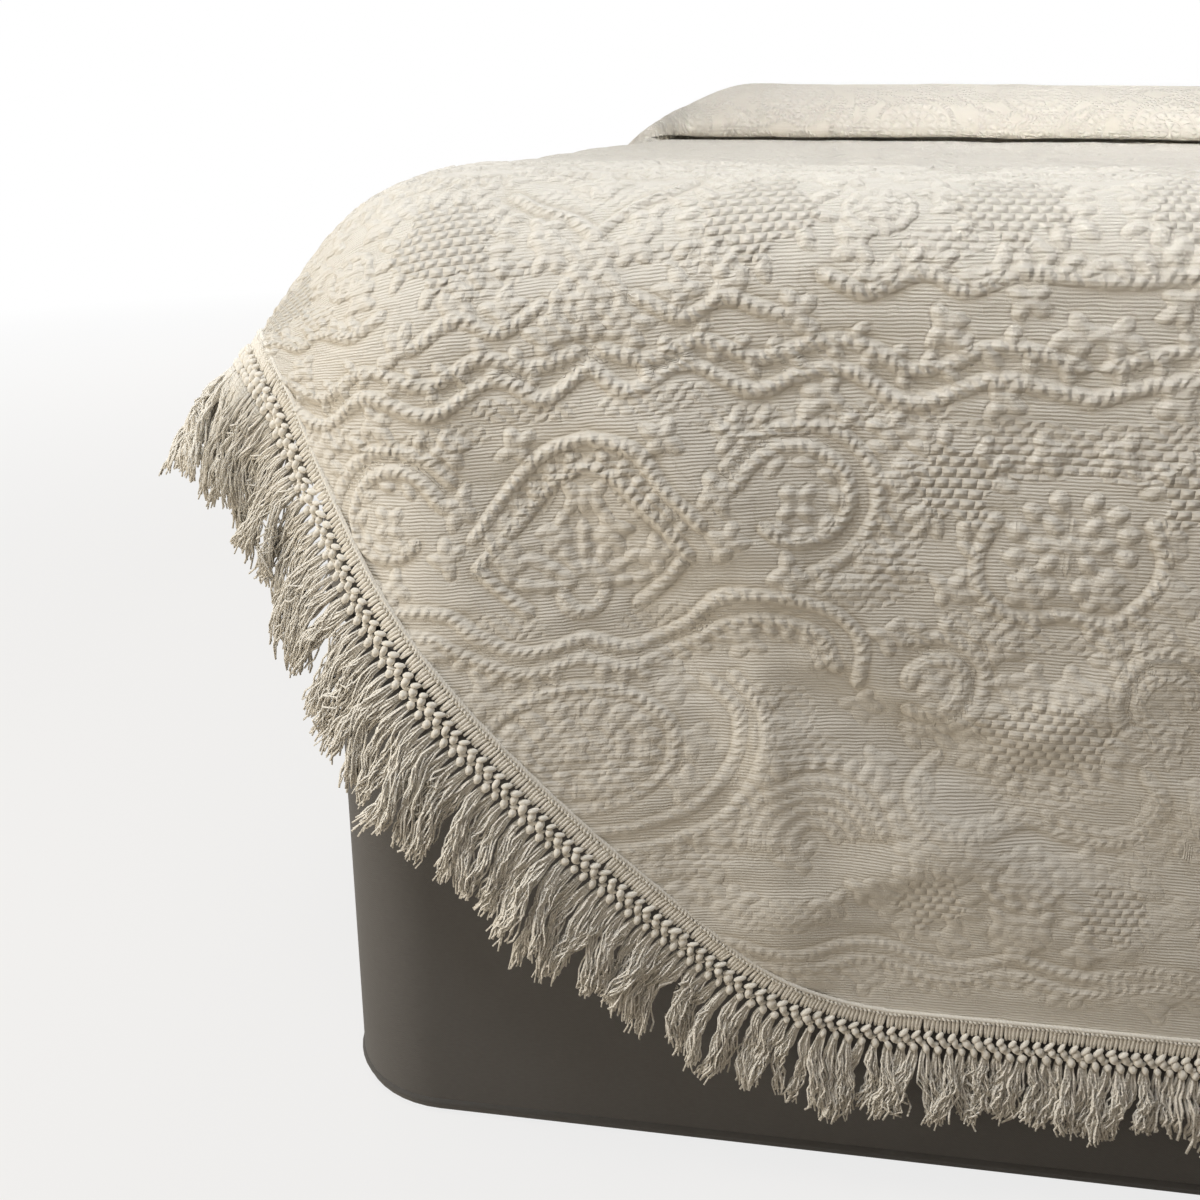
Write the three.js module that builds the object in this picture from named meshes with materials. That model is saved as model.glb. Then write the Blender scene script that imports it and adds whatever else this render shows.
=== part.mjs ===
// A fringed matelasse bedspread lying over a mattress on a plain bed base.
// Millimetres, +Z up, +Y toward the head of the bed. The spread falls over the
// foot of the bed and a little over both sides, and is tucked under a pillow.
import * as THREE from 'three';

const rad = THREE.MathUtils.degToRad;
const lerp = THREE.MathUtils.lerp;
const rise01 = (value, from, to) => THREE.MathUtils.smoothstep(value, from, to);

// ---- Driving dimensions -------------------------------------------------
const FIT_GAP = 0.3;              // between pieces that touch
const EDGE_GAP = 0.45;            // between the rows of the fringe
const REST_GAP = 0.6;             // between the lying cloth and the mattress
const CLOTH_THICKNESS = 2.4;
const CLOTH_TOP = 600;            // upper skin of the cloth above the floor
const HALF_WIDTH = 690;           // cloth's outer face over the bed's side
const BED_LENGTH = 1913;          // from the foot drop to the head of the mattress

// Fall over the foot: a tight edge in the middle, a loose one near the corners.
const FOOT = { edgeRadius: 49, cornerRadius: 121, hemRadius: 165, growth: 350, hemGrowth: 110 };
// Fall over the sides: shoulder radius and how far round the cloth turns.
const SIDE = {
  shoulderOnTop: 122, shoulderOnDrop: 138,
  turnAtHead: 84, turnAtFoot: 69, turnOnDrop: 29.5,
  easeFrom: 700, easeTo: 100, openFrom: 200, openPast: 60,
};
// Near its corners the foot drop swings outward as it falls.
const FLARE = { rate: 0.111, growth: 354, fall: 300, sideways: 0.6 };

// Cut outline of the spread, from the middle of the foot hem to a side hem.
const HEM_DROP = 409;             // foot hem below the end of the foot edge
const HEM_STRAIGHT = 300;         // half of the straight foot hem
const HEM_BENDS = [
  { run: 111, turn: 44, steps: 3 },
  { run: 359, turn: 10.5, steps: 5 },
  { run: 544, turn: 35.5, steps: 14 },
];
const HEM_STRAIGHT_STEPS = 3;

// The tuck under the pillow and the rise over it, measured from the tuck line.
const TUCK = {
  fromFoot: 1250, inward: 54, layerRise: 6, lipRadius: 9, lipGrowth: 3.8, lipSetback: 6,
  frontRun: 117, crownRun: 175, backRun: 180, rise: 68, headMargin: 26, step: 8,
};
// Where those fade out toward the sides: full inside the first, gone past the second.
const FADE = {
  rise: { full: 465, gone: 680 },
  fold: { full: 540, gone: 615 },
  layer: { full: 615, gone: 668 },
};

// Soft folds on the foot drop. across and below give the middle of each fold:
// distance from the bed's middle and depth under the top; heading is measured
// from the hem's direction, downward to the right.
const FOLDS = [
  { across: -455, below: 120, heading: 35, length: 110, width: 34, height: 6 },
  { across: -470, below: 215, heading: 48, length: 90, width: 30, height: -5 },
  { across: -400, below: 190, heading: 38, length: 100, width: 32, height: 5 },
  { across: -290, below: 345, heading: 28, length: 120, width: 36, height: 7 },
  { across: -300, below: 290, heading: 25, length: 110, width: 30, height: -6 },
  { across: -375, below: 400, heading: 75, length: 90, width: 30, height: 5 },
  { across: -60, below: 250, heading: 24, length: 150, width: 45, height: 6 },
  { across: 90, below: 340, heading: 155, length: 140, width: 45, height: -6 },
  { across: 240, below: 230, heading: 150, length: 150, width: 42, height: 7 },
  { across: 400, below: 180, heading: 140, length: 120, width: 36, height: -5 },
  { across: 470, below: 240, heading: 132, length: 110, width: 34, height: 6 },
];

// Rows of the sheet from the head hem to the foot hem.
const ROWS_BEHIND = [0, 1];
const ROWS_BACK = [0.25, 0.5, 0.75];
const ROWS_CROWN = [0];
const ROWS_FRONT = [0, 0.35, 0.65, 1];
const ROWS_LIP = [0.5, 1];
const ROWS_TURN = [0, 0.5, 1];
const ROWS_LYING = [0.14, 0.5, 0.82, 1];
const ROWS_EDGE = [0.25, 0.5, 0.75, 1];
const ROWS_DROP = [0.12, 0.25, 0.38, 0.5, 0.62, 0.75, 0.88, 1];
const SHORTEST_DROP = 180;        // past this the rows close up toward the side
const FOLD_FADE = 60;             // over this much drop the folds grow to their height

// Fringe, measured outward from the hem.
const HEADING = { width: 10.5, thickness: 3.2 };
const NETTING = { width: 14, thickness: 4 };
const EASE_PASSES = 4;            // how far the fringe evens out the hem's turns
const TASSELS = {
  thicknessAtTop: 4.6, thicknessAtTip: 7, hang: 0.5, spacing: 28,
  lengths: [62, 50, 66, 57, 48, 64, 54], gapShare: 0.72, middleShare: 0.72,
};

// The bed.
const MATTRESS = {
  thickness: 280, footSetback: 8, sideSetback: 3.5, footCorner: 150, headCorner: 60,
  endEdge: 48, sideEdge: 135, ringAngles: [0, 22.5, 45, 67.5, 90], bottomEdge: 20,
};
const BASE = { setback: 22, corner: 70, edge: 6 };
const CORNER_STEPS = 6;
const END_SHARES = [-0.6, -0.45, -0.3, 0, 0.3, 0.45, 0.6];   // stations along an end
const PILLOW = {
  clearance: 6, underTuck: 8.2, reach: 500, sections: 11, frontRound: 12, stepRun: 16,
  frontShares: [0.8, 0.6, 0.4, 0.2, 0], crownShares: [0.5, 0], backShares: [0.85, 0.65, 0.42],
  backInset: 1.3,                 // its back lies steeper than the cloth's
};

const COLOURS = { cloth: 0xece5d8, fringe: 0xe4d8c2, bed: 0x77736c, pillow: 0xf2efe8 };

// ---- Derived levels -----------------------------------------------------
const HALF = CLOTH_THICKNESS / 2;
const LEVEL = CLOTH_TOP - HALF;                  // middle of the lying cloth
const FOOT_FACE = HALF;                          // middle of the hanging cloth
const TUCK_Y = TUCK.fromFoot;
const HEAD_HEM_Y = BED_LENGTH - TUCK.headMargin;
const MATTRESS_TOP = CLOTH_TOP - CLOTH_THICKNESS - REST_GAP;
const MATTRESS_BOTTOM = MATTRESS_TOP - MATTRESS.thickness;
const BASE_TOP = MATTRESS_BOTTOM - FIT_GAP;

// ---- Outline of the cut cloth -------------------------------------------
// Stations from the middle of the foot hem outward. across is the distance from
// the middle line, run the distance past the start of the loosest foot edge.
function hemStations() {
  const footRun = footEdgeEnd(0) + HEM_DROP;
  const stations = [];
  for (let i = 0; i <= HEM_STRAIGHT_STEPS; i += 1) {
    stations.push({ across: (HEM_STRAIGHT * i) / HEM_STRAIGHT_STEPS, run: footRun });
  }
  let { across, run } = stations.at(-1);
  let heading = 0;
  for (const bend of HEM_BENDS) {
    const turn = rad(bend.turn) / bend.steps;
    const radius = bend.run / rad(bend.turn);
    for (let i = 0; i < bend.steps; i += 1) {
      across += radius * (Math.sin(heading + turn) - Math.sin(heading));
      run -= radius * (Math.cos(heading) - Math.cos(heading + turn));
      heading += turn;
      stations.push({ across, run });
    }
  }
  return stations;
}

function footRadius(across) {
  const corner = rise01(across, HALF_WIDTH - FOOT.growth, HALF_WIDTH);
  const hem = rise01(across, HALF_WIDTH, HALF_WIDTH + FOOT.hemGrowth);
  return lerp(FOOT.edgeRadius, FOOT.cornerRadius, corner)
    + (FOOT.hemRadius - FOOT.cornerRadius) * hem;
}

function footEdgeStart(across) {
  return FOOT.cornerRadius - footRadius(across);
}

function footEdgeEnd(across) {
  return footEdgeStart(across) + (footRadius(across) * Math.PI) / 2;
}

// ---- The sheet's middle surface ------------------------------------------
// The section across the bed: flat, then round the shoulder, then straight.
function shoulder(across, onDrop, turn) {
  const radius = lerp(SIDE.shoulderOnTop, SIDE.shoulderOnDrop, onDrop);
  const flat = HALF_WIDTH - radius;
  if (across <= flat) return { x: across, fall: 0 };
  const angle = Math.min((across - flat) / radius, turn);
  const rest = Math.max(across - flat - radius * turn, 0);
  return {
    x: flat + radius * Math.sin(angle) + rest * Math.cos(turn),
    fall: radius * (1 - Math.cos(angle)) + rest * Math.sin(turn),
  };
}

// Over the pillow and into the tuck. part names the stretch, share goes from
// its head end to its foot end, order counts the rows past the pillow's front,
// and inset draws the surface in under the cloth, as the pillow lies.
function pillowPath(across, part, share, order, inset = 0) {
  const up = 1 - rise01(across, FADE.rise.full, FADE.rise.gone);
  const fold = 1 - rise01(across, FADE.fold.full, FADE.fold.gone);
  const layer = TUCK.layerRise * (1 - rise01(across, FADE.layer.full, FADE.layer.gone));
  const lip = TUCK.lipRadius * Math.min(1, TUCK.lipGrowth * up);
  const crown = layer + TUCK.rise * up;
  const front = TUCK_Y + TUCK.lipSetback - TUCK.lipRadius;
  const frontEnd = TUCK_Y + TUCK.frontRun;
  const crownEnd = frontEnd + TUCK.crownRun;
  const backEnd = crownEnd + TUCK.backRun;
  const plain = TUCK_Y - TUCK.step * order;
  const angle = (share * Math.PI) / 2;
  switch (part) {
    case 'behind':
      return { y: lerp(HEAD_HEM_Y, backEnd, share), z: 0 };
    case 'back':
      return {
        y: lerp(backEnd, crownEnd, share),
        z: (crown * (1 - Math.cos(Math.PI * share))) / 2 - PILLOW.backInset * inset,
      };
    case 'crown':
      return { y: lerp(crownEnd, frontEnd, share), z: crown - inset };
    case 'front':
      return {
        y: frontEnd - (frontEnd - front - inset) * Math.sin(angle),
        z: layer + lip + (crown - layer - lip - inset) * Math.cos(angle),
      };
    case 'lip':
      return {
        y: lerp(plain, TUCK_Y + TUCK.lipSetback - TUCK.lipRadius * Math.cos(angle), fold),
        z: layer + lip * (1 - Math.sin(angle)),
      };
    default:
      return {
        y: lerp(plain, TUCK_Y + TUCK.inward + (TUCK.layerRise / 2) * Math.sin(Math.PI * share), fold),
        z: (layer * (1 + Math.cos(Math.PI * share))) / 2,
      };
  }
}

// Height of the soft folds where the cloth hangs.
function foldHeight(x, below) {
  let height = 0;
  for (const fold of FOLDS) {
    const angle = rad(fold.heading);
    const dx = x - fold.across;
    const dz = below - fold.below;
    const along = (dx * Math.cos(angle) + dz * Math.sin(angle)) / fold.length;
    const aside = (-dx * Math.sin(angle) + dz * Math.cos(angle)) / fold.width;
    height += fold.height * Math.exp(-along * along - aside * aside);
  }
  return height;
}

// A point of the sheet's middle surface on the foot end, run measured as above.
function footPoint(side, across, run) {
  const radius = footRadius(across);
  const start = footEdgeStart(across);
  const angle = THREE.MathUtils.clamp((run - start) / radius, 0, Math.PI / 2);
  const drop = Math.max(run - footEdgeEnd(across), 0);
  const onDrop = rise01(run, start, footEdgeEnd(across));
  const nearFoot = rise01(run, -SIDE.easeFrom, -SIDE.easeTo);
  const round = rise01(run, -SIDE.openFrom, footEdgeEnd(across) + SIDE.openPast);
  const turnOnTop = lerp(SIDE.turnAtHead, SIDE.turnAtFoot, nearFoot);
  const turn = rad(lerp(turnOnTop, SIDE.turnOnDrop, round));
  const { x, fall } = shoulder(across, onDrop, turn);
  const flat = Math.max(start - run, 0);
  const swing = FLARE.rate * rise01(across, HALF_WIDTH - FLARE.growth, HALF_WIDTH)
    * drop * Math.sqrt(drop / FLARE.fall);
  const folds = foldHeight(side * x, drop + radius) * rise01(drop, 0, FOLD_FADE);
  return new THREE.Vector3(
    side * (x + FLARE.sideways * swing),
    FOOT_FACE + flat + radius - (radius - fall) * Math.sin(angle) - swing - folds,
    LEVEL - radius + (radius - fall) * Math.cos(angle) - drop,
  );
}

// One column of the sheet, head hem to foot hem.
function sheetColumn(side, across, hemRun) {
  const points = [];
  const edgeEnd = footEdgeEnd(across);
  const turn = rad(SIDE.turnAtHead);
  const place = (part, share, order) => {
    const { y, z } = pillowPath(across, part, share, order);
    const { x, fall } = shoulder(across, 0, turn);
    points.push(new THREE.Vector3(side * x, y, LEVEL + z - fall));
  };
  ROWS_BEHIND.forEach((share) => place('behind', share, 0));
  ROWS_BACK.forEach((share) => place('back', share, 0));
  ROWS_CROWN.forEach((share) => place('crown', share, 0));
  ROWS_FRONT.forEach((share) => place('front', share, 0));
  ROWS_LIP.forEach((share, i) => place('lip', share, i + 1));
  ROWS_TURN.forEach((share, i) => place('turn', share, ROWS_LIP.length + i + 1));
  const tuckRows = ROWS_LIP.length + ROWS_TURN.length + 1;
  const lyingFrom = FOOT.cornerRadius - (TUCK_Y - TUCK.step * tuckRows - FOOT_FACE);
  const edgeStart = footEdgeStart(across);
  const runs = ROWS_LYING.map((share) => lerp(lyingFrom, edgeStart, share));
  ROWS_EDGE.forEach((share) => runs.push(lerp(edgeStart, edgeEnd, share)));
  const hangs = Math.max(hemRun - edgeEnd, SHORTEST_DROP);
  ROWS_DROP.forEach((share) => runs.push(edgeEnd + hangs * share));
  const closeUp = (hemRun - lyingFrom) / (runs.at(-1) - lyingFrom);
  for (const run of runs) {
    points.push(footPoint(side, across, lyingFrom + (run - lyingFrom) * closeUp));
  }
  return points;
}

function sheetColumns() {
  const stations = hemStations();
  const left = stations.slice(1).reverse().map((s) => sheetColumn(-1, s.across, s.run));
  const right = stations.map((s) => sheetColumn(1, s.across, s.run));
  return [...left, ...right];
}

// Unit normals of a grid of points, pointing to its upper or outer skin.
function gridNormals(columns) {
  const last = columns.length - 1;
  return columns.map((column, i) => column.map((_, j) => {
    const acrossStep = new THREE.Vector3()
      .subVectors(columns[Math.min(i + 1, last)][j], columns[Math.max(i - 1, 0)][j]);
    const alongStep = new THREE.Vector3()
      .subVectors(column[Math.max(j - 1, 0)], column[Math.min(j + 1, column.length - 1)]);
    return acrossStep.cross(alongStep).normalize();
  }));
}

// ---- Mesh helpers ---------------------------------------------------------
class Faces {
  constructor() {
    this.positions = [];
    this.indices = [];
  }

  point(v) {
    this.positions.push(v.x, v.y, v.z);
    return this.positions.length / 3 - 1;
  }

  quad(a, b, c, d) {
    this.indices.push(a, b, c, a, c, d);
  }

  mesh(name, colour, roughness) {
    const geometry = new THREE.BufferGeometry();
    geometry.setAttribute('position', new THREE.Float32BufferAttribute(this.positions, 3));
    geometry.setIndex(this.indices);
    geometry.computeVertexNormals();
    const material = new THREE.MeshStandardMaterial({ color: colour, roughness, metalness: 0 });
    const mesh = new THREE.Mesh(geometry, material);
    mesh.name = name;
    return mesh;
  }
}

// A closed sheet between two grids of points, the first one outside.
function closedSheet(outer, inner, name, colour) {
  const faces = new Faces();
  const top = outer.map((column) => column.map((v) => faces.point(v)));
  const under = inner.map((column) => column.map((v) => faces.point(v)));
  const columns = outer.length - 1;
  const rows = outer[0].length - 1;
  for (let i = 0; i < columns; i += 1) {
    for (let j = 0; j < rows; j += 1) {
      faces.quad(top[i][j], top[i][j + 1], top[i + 1][j + 1], top[i + 1][j]);
      faces.quad(under[i][j], under[i + 1][j], under[i + 1][j + 1], under[i][j + 1]);
    }
    faces.quad(top[i][0], top[i + 1][0], under[i + 1][0], under[i][0]);
    faces.quad(top[i + 1][rows], top[i][rows], under[i][rows], under[i + 1][rows]);
  }
  for (let j = 0; j < rows; j += 1) {
    faces.quad(top[0][j + 1], top[0][j], under[0][j], under[0][j + 1]);
    faces.quad(top[columns][j], top[columns][j + 1], under[columns][j + 1], under[columns][j]);
  }
  return faces.mesh(name, colour, 0.95);
}

// A closed body through rings of equal length, running round +Z from below up.
function stackedRings(rings, name, colour) {
  const faces = new Faces();
  const ids = rings.map((ring) => ring.map((v) => faces.point(v)));
  const count = rings[0].length;
  for (let k = 0; k < rings.length - 1; k += 1) {
    for (let i = 0; i < count; i += 1) {
      const next = (i + 1) % count;
      faces.quad(ids[k][i], ids[k][next], ids[k + 1][next], ids[k + 1][i]);
    }
  }
  const cap = (ring, ringIds, upward) => {
    const middle = ring.reduce((sum, v) => sum.add(v), new THREE.Vector3()).divideScalar(count);
    const hub = faces.point(middle);
    for (let i = 0; i < count; i += 1) {
      const next = (i + 1) % count;
      if (upward) faces.indices.push(hub, ringIds[i], ringIds[next]);
      else faces.indices.push(hub, ringIds[next], ringIds[i]);
    }
  };
  cap(rings[0], ids[0], false);
  cap(rings.at(-1), ids.at(-1), true);
  return faces.mesh(name, colour, 0.9);
}

// ---- Bedspread -------------------------------------------------------------
const columns = sheetColumns();
const normals = gridNormals(columns);
const shifted = (distance) => columns.map((column, i) => column
  .map((v, j) => v.clone().addScaledVector(normals[i][j], distance)));

function bedspread() {
  return closedSheet(shifted(HALF), shifted(-HALF), 'bedspread', COLOURS.cloth);
}

// ---- Fringe ----------------------------------------------------------------
// Stations along the fringed edge: left side from the head, foot, right side.
function edgeStations() {
  const rows = columns[0].length - 1;
  const last = columns.length - 1;
  const route = [];
  for (let j = 0; j < rows; j += 1) route.push([0, j]);
  for (let i = 0; i <= last; i += 1) route.push([i, rows]);
  for (let j = rows - 1; j >= 0; j -= 1) route.push([last, j]);
  const places = route.map(([i, j]) => columns[i][j]);
  const ups = smoothed(route.map(([i, j]) => normals[i][j]));
  const alongs = smoothed(places.map((_, k) => new THREE.Vector3()
    .subVectors(places[Math.min(k + 1, places.length - 1)], places[Math.max(k - 1, 0)])
    .normalize()));
  return places.map((at, k) => {
    const out = new THREE.Vector3().crossVectors(alongs[k], ups[k]).normalize();
    return { at, up: new THREE.Vector3().crossVectors(out, alongs[k]).normalize(), out };
  });
}

// Directions eased along their row, so that the fringe turns evenly.
function smoothed(directions) {
  let eased = directions;
  for (let pass = 0; pass < EASE_PASSES; pass += 1) {
    const row = eased;
    eased = row.map((v, k) => v.clone().multiplyScalar(2)
      .add(row[Math.max(k - 1, 0)]).add(row[Math.min(k + 1, row.length - 1)]).normalize());
  }
  return eased;
}

// A closed strip through sections of four corners: outer skin near and far
// from the hem, then inner skin far and near.
function closedStrip(sections, name, colour) {
  const faces = new Faces();
  const ids = sections.map((section) => section.map((v) => faces.point(v)));
  for (let k = 0; k < ids.length - 1; k += 1) {
    for (let c = 0; c < 4; c += 1) {
      const d = (c + 1) % 4;
      faces.quad(ids[k][c], ids[k][d], ids[k + 1][d], ids[k + 1][c]);
    }
  }
  const end = ids.at(-1);
  faces.quad(ids[0][3], ids[0][2], ids[0][1], ids[0][0]);
  faces.quad(end[0], end[1], end[2], end[3]);
  return faces.mesh(name, colour, 0.95);
}

function bandSection(station, from, to, thickness) {
  const corner = (distance, height) => station.at.clone()
    .addScaledVector(station.out, distance).addScaledVector(station.up, height);
  const half = thickness / 2;
  return [corner(from, half), corner(to, half), corner(to, -half), corner(from, -half)];
}

const HEADING_FROM = EDGE_GAP;
const HEADING_TO = HEADING_FROM + HEADING.width;
const NETTING_FROM = HEADING_TO + EDGE_GAP;
const NETTING_TO = NETTING_FROM + NETTING.width;
const TASSELS_FROM = NETTING_TO + EDGE_GAP;

function fringeHeading(stations) {
  const sections = stations.map((s) => bandSection(s, HEADING_FROM, HEADING_TO, HEADING.thickness));
  return closedStrip(sections, 'fringe_heading', COLOURS.fringe);
}

function fringeNetting(stations) {
  const sections = stations.map((s) => bandSection(s, NETTING_FROM, NETTING_TO, NETTING.thickness));
  return closedStrip(sections, 'fringe_netting', COLOURS.fringe);
}

// Stations closer together along the same edge, for the tassels' tips.
function refinedStations(stations, spacing) {
  const refined = [];
  for (let k = 0; k < stations.length - 1; k += 1) {
    const a = stations[k];
    const b = stations[k + 1];
    const parts = Math.max(1, Math.round(a.at.distanceTo(b.at) / spacing));
    for (let i = 0; i < parts; i += 1) {
      const share = i / parts;
      refined.push({
        at: a.at.clone().lerp(b.at, share),
        up: a.up.clone().lerp(b.up, share),
        out: a.out.clone().lerp(b.out, share),
      });
    }
  }
  refined.push(stations.at(-1));
  return refined;
}

// The tassels as one comb: every second station is a tip, those between a gap.
function fringeTassels(stations) {
  const down = new THREE.Vector3(0, 0, -1);
  const refined = refinedStations(stations, TASSELS.spacing);
  const middle = (refined.length - 1) / 2;
  const sections = refined.map((station, k) => {
    const fromEnd = Math.round(middle - Math.abs(k - middle));
    const full = TASSELS.lengths[Math.floor(fromEnd / 2) % TASSELS.lengths.length];
    const shorter = lerp(TASSELS.middleShare, 1, rise01(Math.abs(station.at.x), 0, HALF_WIDTH));
    const length = shorter * (fromEnd % 2 === 0 ? full * TASSELS.gapShare : full);
    const hang = station.out.clone().lerp(down, TASSELS.hang).normalize();
    const top = station.at.clone().addScaledVector(station.out, TASSELS_FROM);
    const tip = top.clone().addScaledVector(hang, length);
    const upAtTop = station.up.clone().multiplyScalar(TASSELS.thicknessAtTop / 2);
    const upAtTip = station.up.clone().multiplyScalar(TASSELS.thicknessAtTip / 2);
    return [
      top.clone().add(upAtTop), tip.clone().add(upAtTip),
      tip.clone().sub(upAtTip), top.clone().sub(upAtTop),
    ];
  });
  return closedStrip(sections, 'fringe_tassels', COLOURS.fringe);
}

// ---- Bed --------------------------------------------------------------------
// Plan outline of a bed piece, anticlockwise, as stations with an inward direction.
function planOutline({ halfWidth, footY, headY, footCorner, headCorner }) {
  const outline = [];
  const straight = (y, sign, inward) => END_SHARES.forEach((share) => outline.push({
    at: new THREE.Vector3(sign * share * halfWidth, y, 0),
    inward,
  }));
  const corner = (side, y, radius, from) => {
    for (let i = 0; i <= CORNER_STEPS; i += 1) {
      const angle = rad(from + (90 * i) / CORNER_STEPS);
      const out = new THREE.Vector3(Math.cos(angle), Math.sin(angle), 0);
      outline.push({
        at: new THREE.Vector3(side * (halfWidth - radius), y, 0).addScaledVector(out, radius),
        inward: out.negate(),
        side,
      });
    }
  };
  straight(footY, 1, new THREE.Vector3(0, 1, 0));
  corner(1, footY + footCorner, footCorner, -90);
  corner(1, headY - headCorner, headCorner, 0);
  straight(headY, -1, new THREE.Vector3(0, -1, 0));
  corner(-1, headY - headCorner, headCorner, 90);
  corner(-1, footY + footCorner, footCorner, 180);
  return outline;
}

// Radius of the mattress's top edge: tight along the middle of its ends, soft
// along the sides and round the foot corners.
function mattressEdge(station) {
  const atCorner = station.at.y > BED_LENGTH / 2 ? 0
    : rise01(Math.abs(station.at.x), HALF_WIDTH - FOOT.growth, HALF_WIDTH - MATTRESS.footCorner);
  const atSide = rise01(Math.abs(station.inward.x), 0, 1);
  return lerp(lerp(MATTRESS.endEdge, MATTRESS.sideEdge, atCorner), MATTRESS.sideEdge, atSide);
}

// A station of the outline drawn in over the top edge, turned by an angle. The
// head's corners are square, so their insets from the side and the end add.
function overTopEdge(station, angle) {
  const radius = mattressEdge(station);
  const inset = 1 - Math.cos(angle);
  const squareCorner = station.side && station.at.y > BED_LENGTH / 2;
  const step = squareCorner
    ? new THREE.Vector3(-station.side * MATTRESS.sideEdge, -MATTRESS.endEdge, 0)
    : station.inward.clone().multiplyScalar(radius);
  return station.at.clone().addScaledVector(step, inset)
    .setZ(MATTRESS_TOP - radius * (1 - Math.sin(angle)));
}

function mattress() {
  const outline = planOutline({
    halfWidth: HALF_WIDTH - CLOTH_THICKNESS - MATTRESS.sideSetback,
    footY: CLOTH_THICKNESS + MATTRESS.footSetback,
    headY: BED_LENGTH,
    footCorner: MATTRESS.footCorner,
    headCorner: MATTRESS.headCorner,
  });
  const ring = (inset, z) => outline.map((s) => s.at.clone()
    .addScaledVector(s.inward, inset).setZ(z));
  const rings = [
    ring(MATTRESS.bottomEdge, MATTRESS_BOTTOM),
    ring(0, MATTRESS_BOTTOM + MATTRESS.bottomEdge),
    ...MATTRESS.ringAngles.map((degrees) => outline.map((s) => overTopEdge(s, rad(degrees)))),
  ];
  return stackedRings(rings, 'mattress', COLOURS.bed);
}

function bedBase() {
  const outline = planOutline({
    halfWidth: HALF_WIDTH - CLOTH_THICKNESS - MATTRESS.sideSetback - BASE.setback,
    footY: CLOTH_THICKNESS + MATTRESS.footSetback + BASE.setback,
    headY: BED_LENGTH - BASE.setback,
    footCorner: BASE.corner,
    headCorner: BASE.corner,
  });
  const ring = (inset, z) => outline.map((s) => s.at.clone()
    .addScaledVector(s.inward, inset).setZ(z));
  return stackedRings(
    [ring(BASE.edge, 0), ring(0, BASE.edge), ring(0, BASE_TOP - BASE.edge), ring(BASE.edge, BASE_TOP)],
    'bed_base',
    COLOURS.bed,
  );
}

// The pillow fills the raised cloth: sections across the bed, each one a loop
// in the plane of the bed's length.
function pillow() {
  const inset = HALF + PILLOW.clearance;
  const under = LEVEL + PILLOW.underTuck;
  const lying = MATTRESS_TOP + FIT_GAP;
  const tuckEnd = TUCK_Y + TUCK.inward;
  const sections = [];
  for (let i = 0; i < PILLOW.sections; i += 1) {
    const x = PILLOW.reach * Math.sin(lerp(-Math.PI / 2, Math.PI / 2, i / (PILLOW.sections - 1)));
    const over = (part, share) => {
      const { y, z } = pillowPath(Math.abs(x), part, share, 0, inset);
      return new THREE.Vector3(x, y, LEVEL + z);
    };
    const on = (y, z) => new THREE.Vector3(x, y, z);
    const skin = [
      ...PILLOW.frontShares.map((share) => over('front', share)),
      ...PILLOW.crownShares.map((share) => over('crown', share)),
      ...PILLOW.backShares.map((share) => over('back', share)),
    ];
    sections.push([
      on(skin[0].y + PILLOW.frontRound, under), ...skin, on(skin.at(-1).y, lying),
      on(tuckEnd + 2 * PILLOW.stepRun, lying), on(tuckEnd + PILLOW.stepRun, under),
    ]);
  }
  const faces = new Faces();
  const ids = sections.map((loop) => loop.map((v) => faces.point(v)));
  const count = sections[0].length;
  for (let k = 0; k < ids.length - 1; k += 1) {
    for (let c = 0; c < count; c += 1) {
      const d = (c + 1) % count;
      faces.quad(ids[k][c], ids[k + 1][c], ids[k + 1][d], ids[k][d]);
    }
  }
  const end = (loop, loopIds, flip) => {
    const hub = faces.point(loop.reduce((sum, v) => sum.add(v), new THREE.Vector3())
      .divideScalar(count));
    for (let c = 0; c < count; c += 1) {
      const d = (c + 1) % count;
      if (flip) faces.indices.push(hub, loopIds[d], loopIds[c]);
      else faces.indices.push(hub, loopIds[c], loopIds[d]);
    }
  };
  end(sections[0], ids[0], false);
  end(sections.at(-1), ids.at(-1), true);
  return faces.mesh('pillow', COLOURS.pillow, 0.9);
}

// ---- Assembly -----------------------------------------------------------------

const stations = edgeStations();
const group = new THREE.Group();
group.add(
  bedspread(), fringeHeading(stations), fringeNetting(stations), fringeTassels(stations),
  pillow(), mattress(), bedBase(),
);
// The origin lies on the floor under the middle of the whole.
const reach = new THREE.Box3().setFromObject(group);
group.position.y = -(reach.min.y + reach.max.y) / 2;
group.updateMatrixWorld(true);

export default group;
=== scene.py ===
"""A fringed matelasse bedspread on a bed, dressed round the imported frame.

Metres, +Z up, +Y toward the head of the bed. The cloth is laid out in flat
coordinates first: across is the distance from the bed's middle line, run the
distance toward the foot hem, zero where the loosest foot edge begins.
"""

import logging
import math
from dataclasses import dataclass, field
from enum import Enum
from functools import reduce

import bpy
import numpy as np
from mathutils import Matrix, Vector


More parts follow.
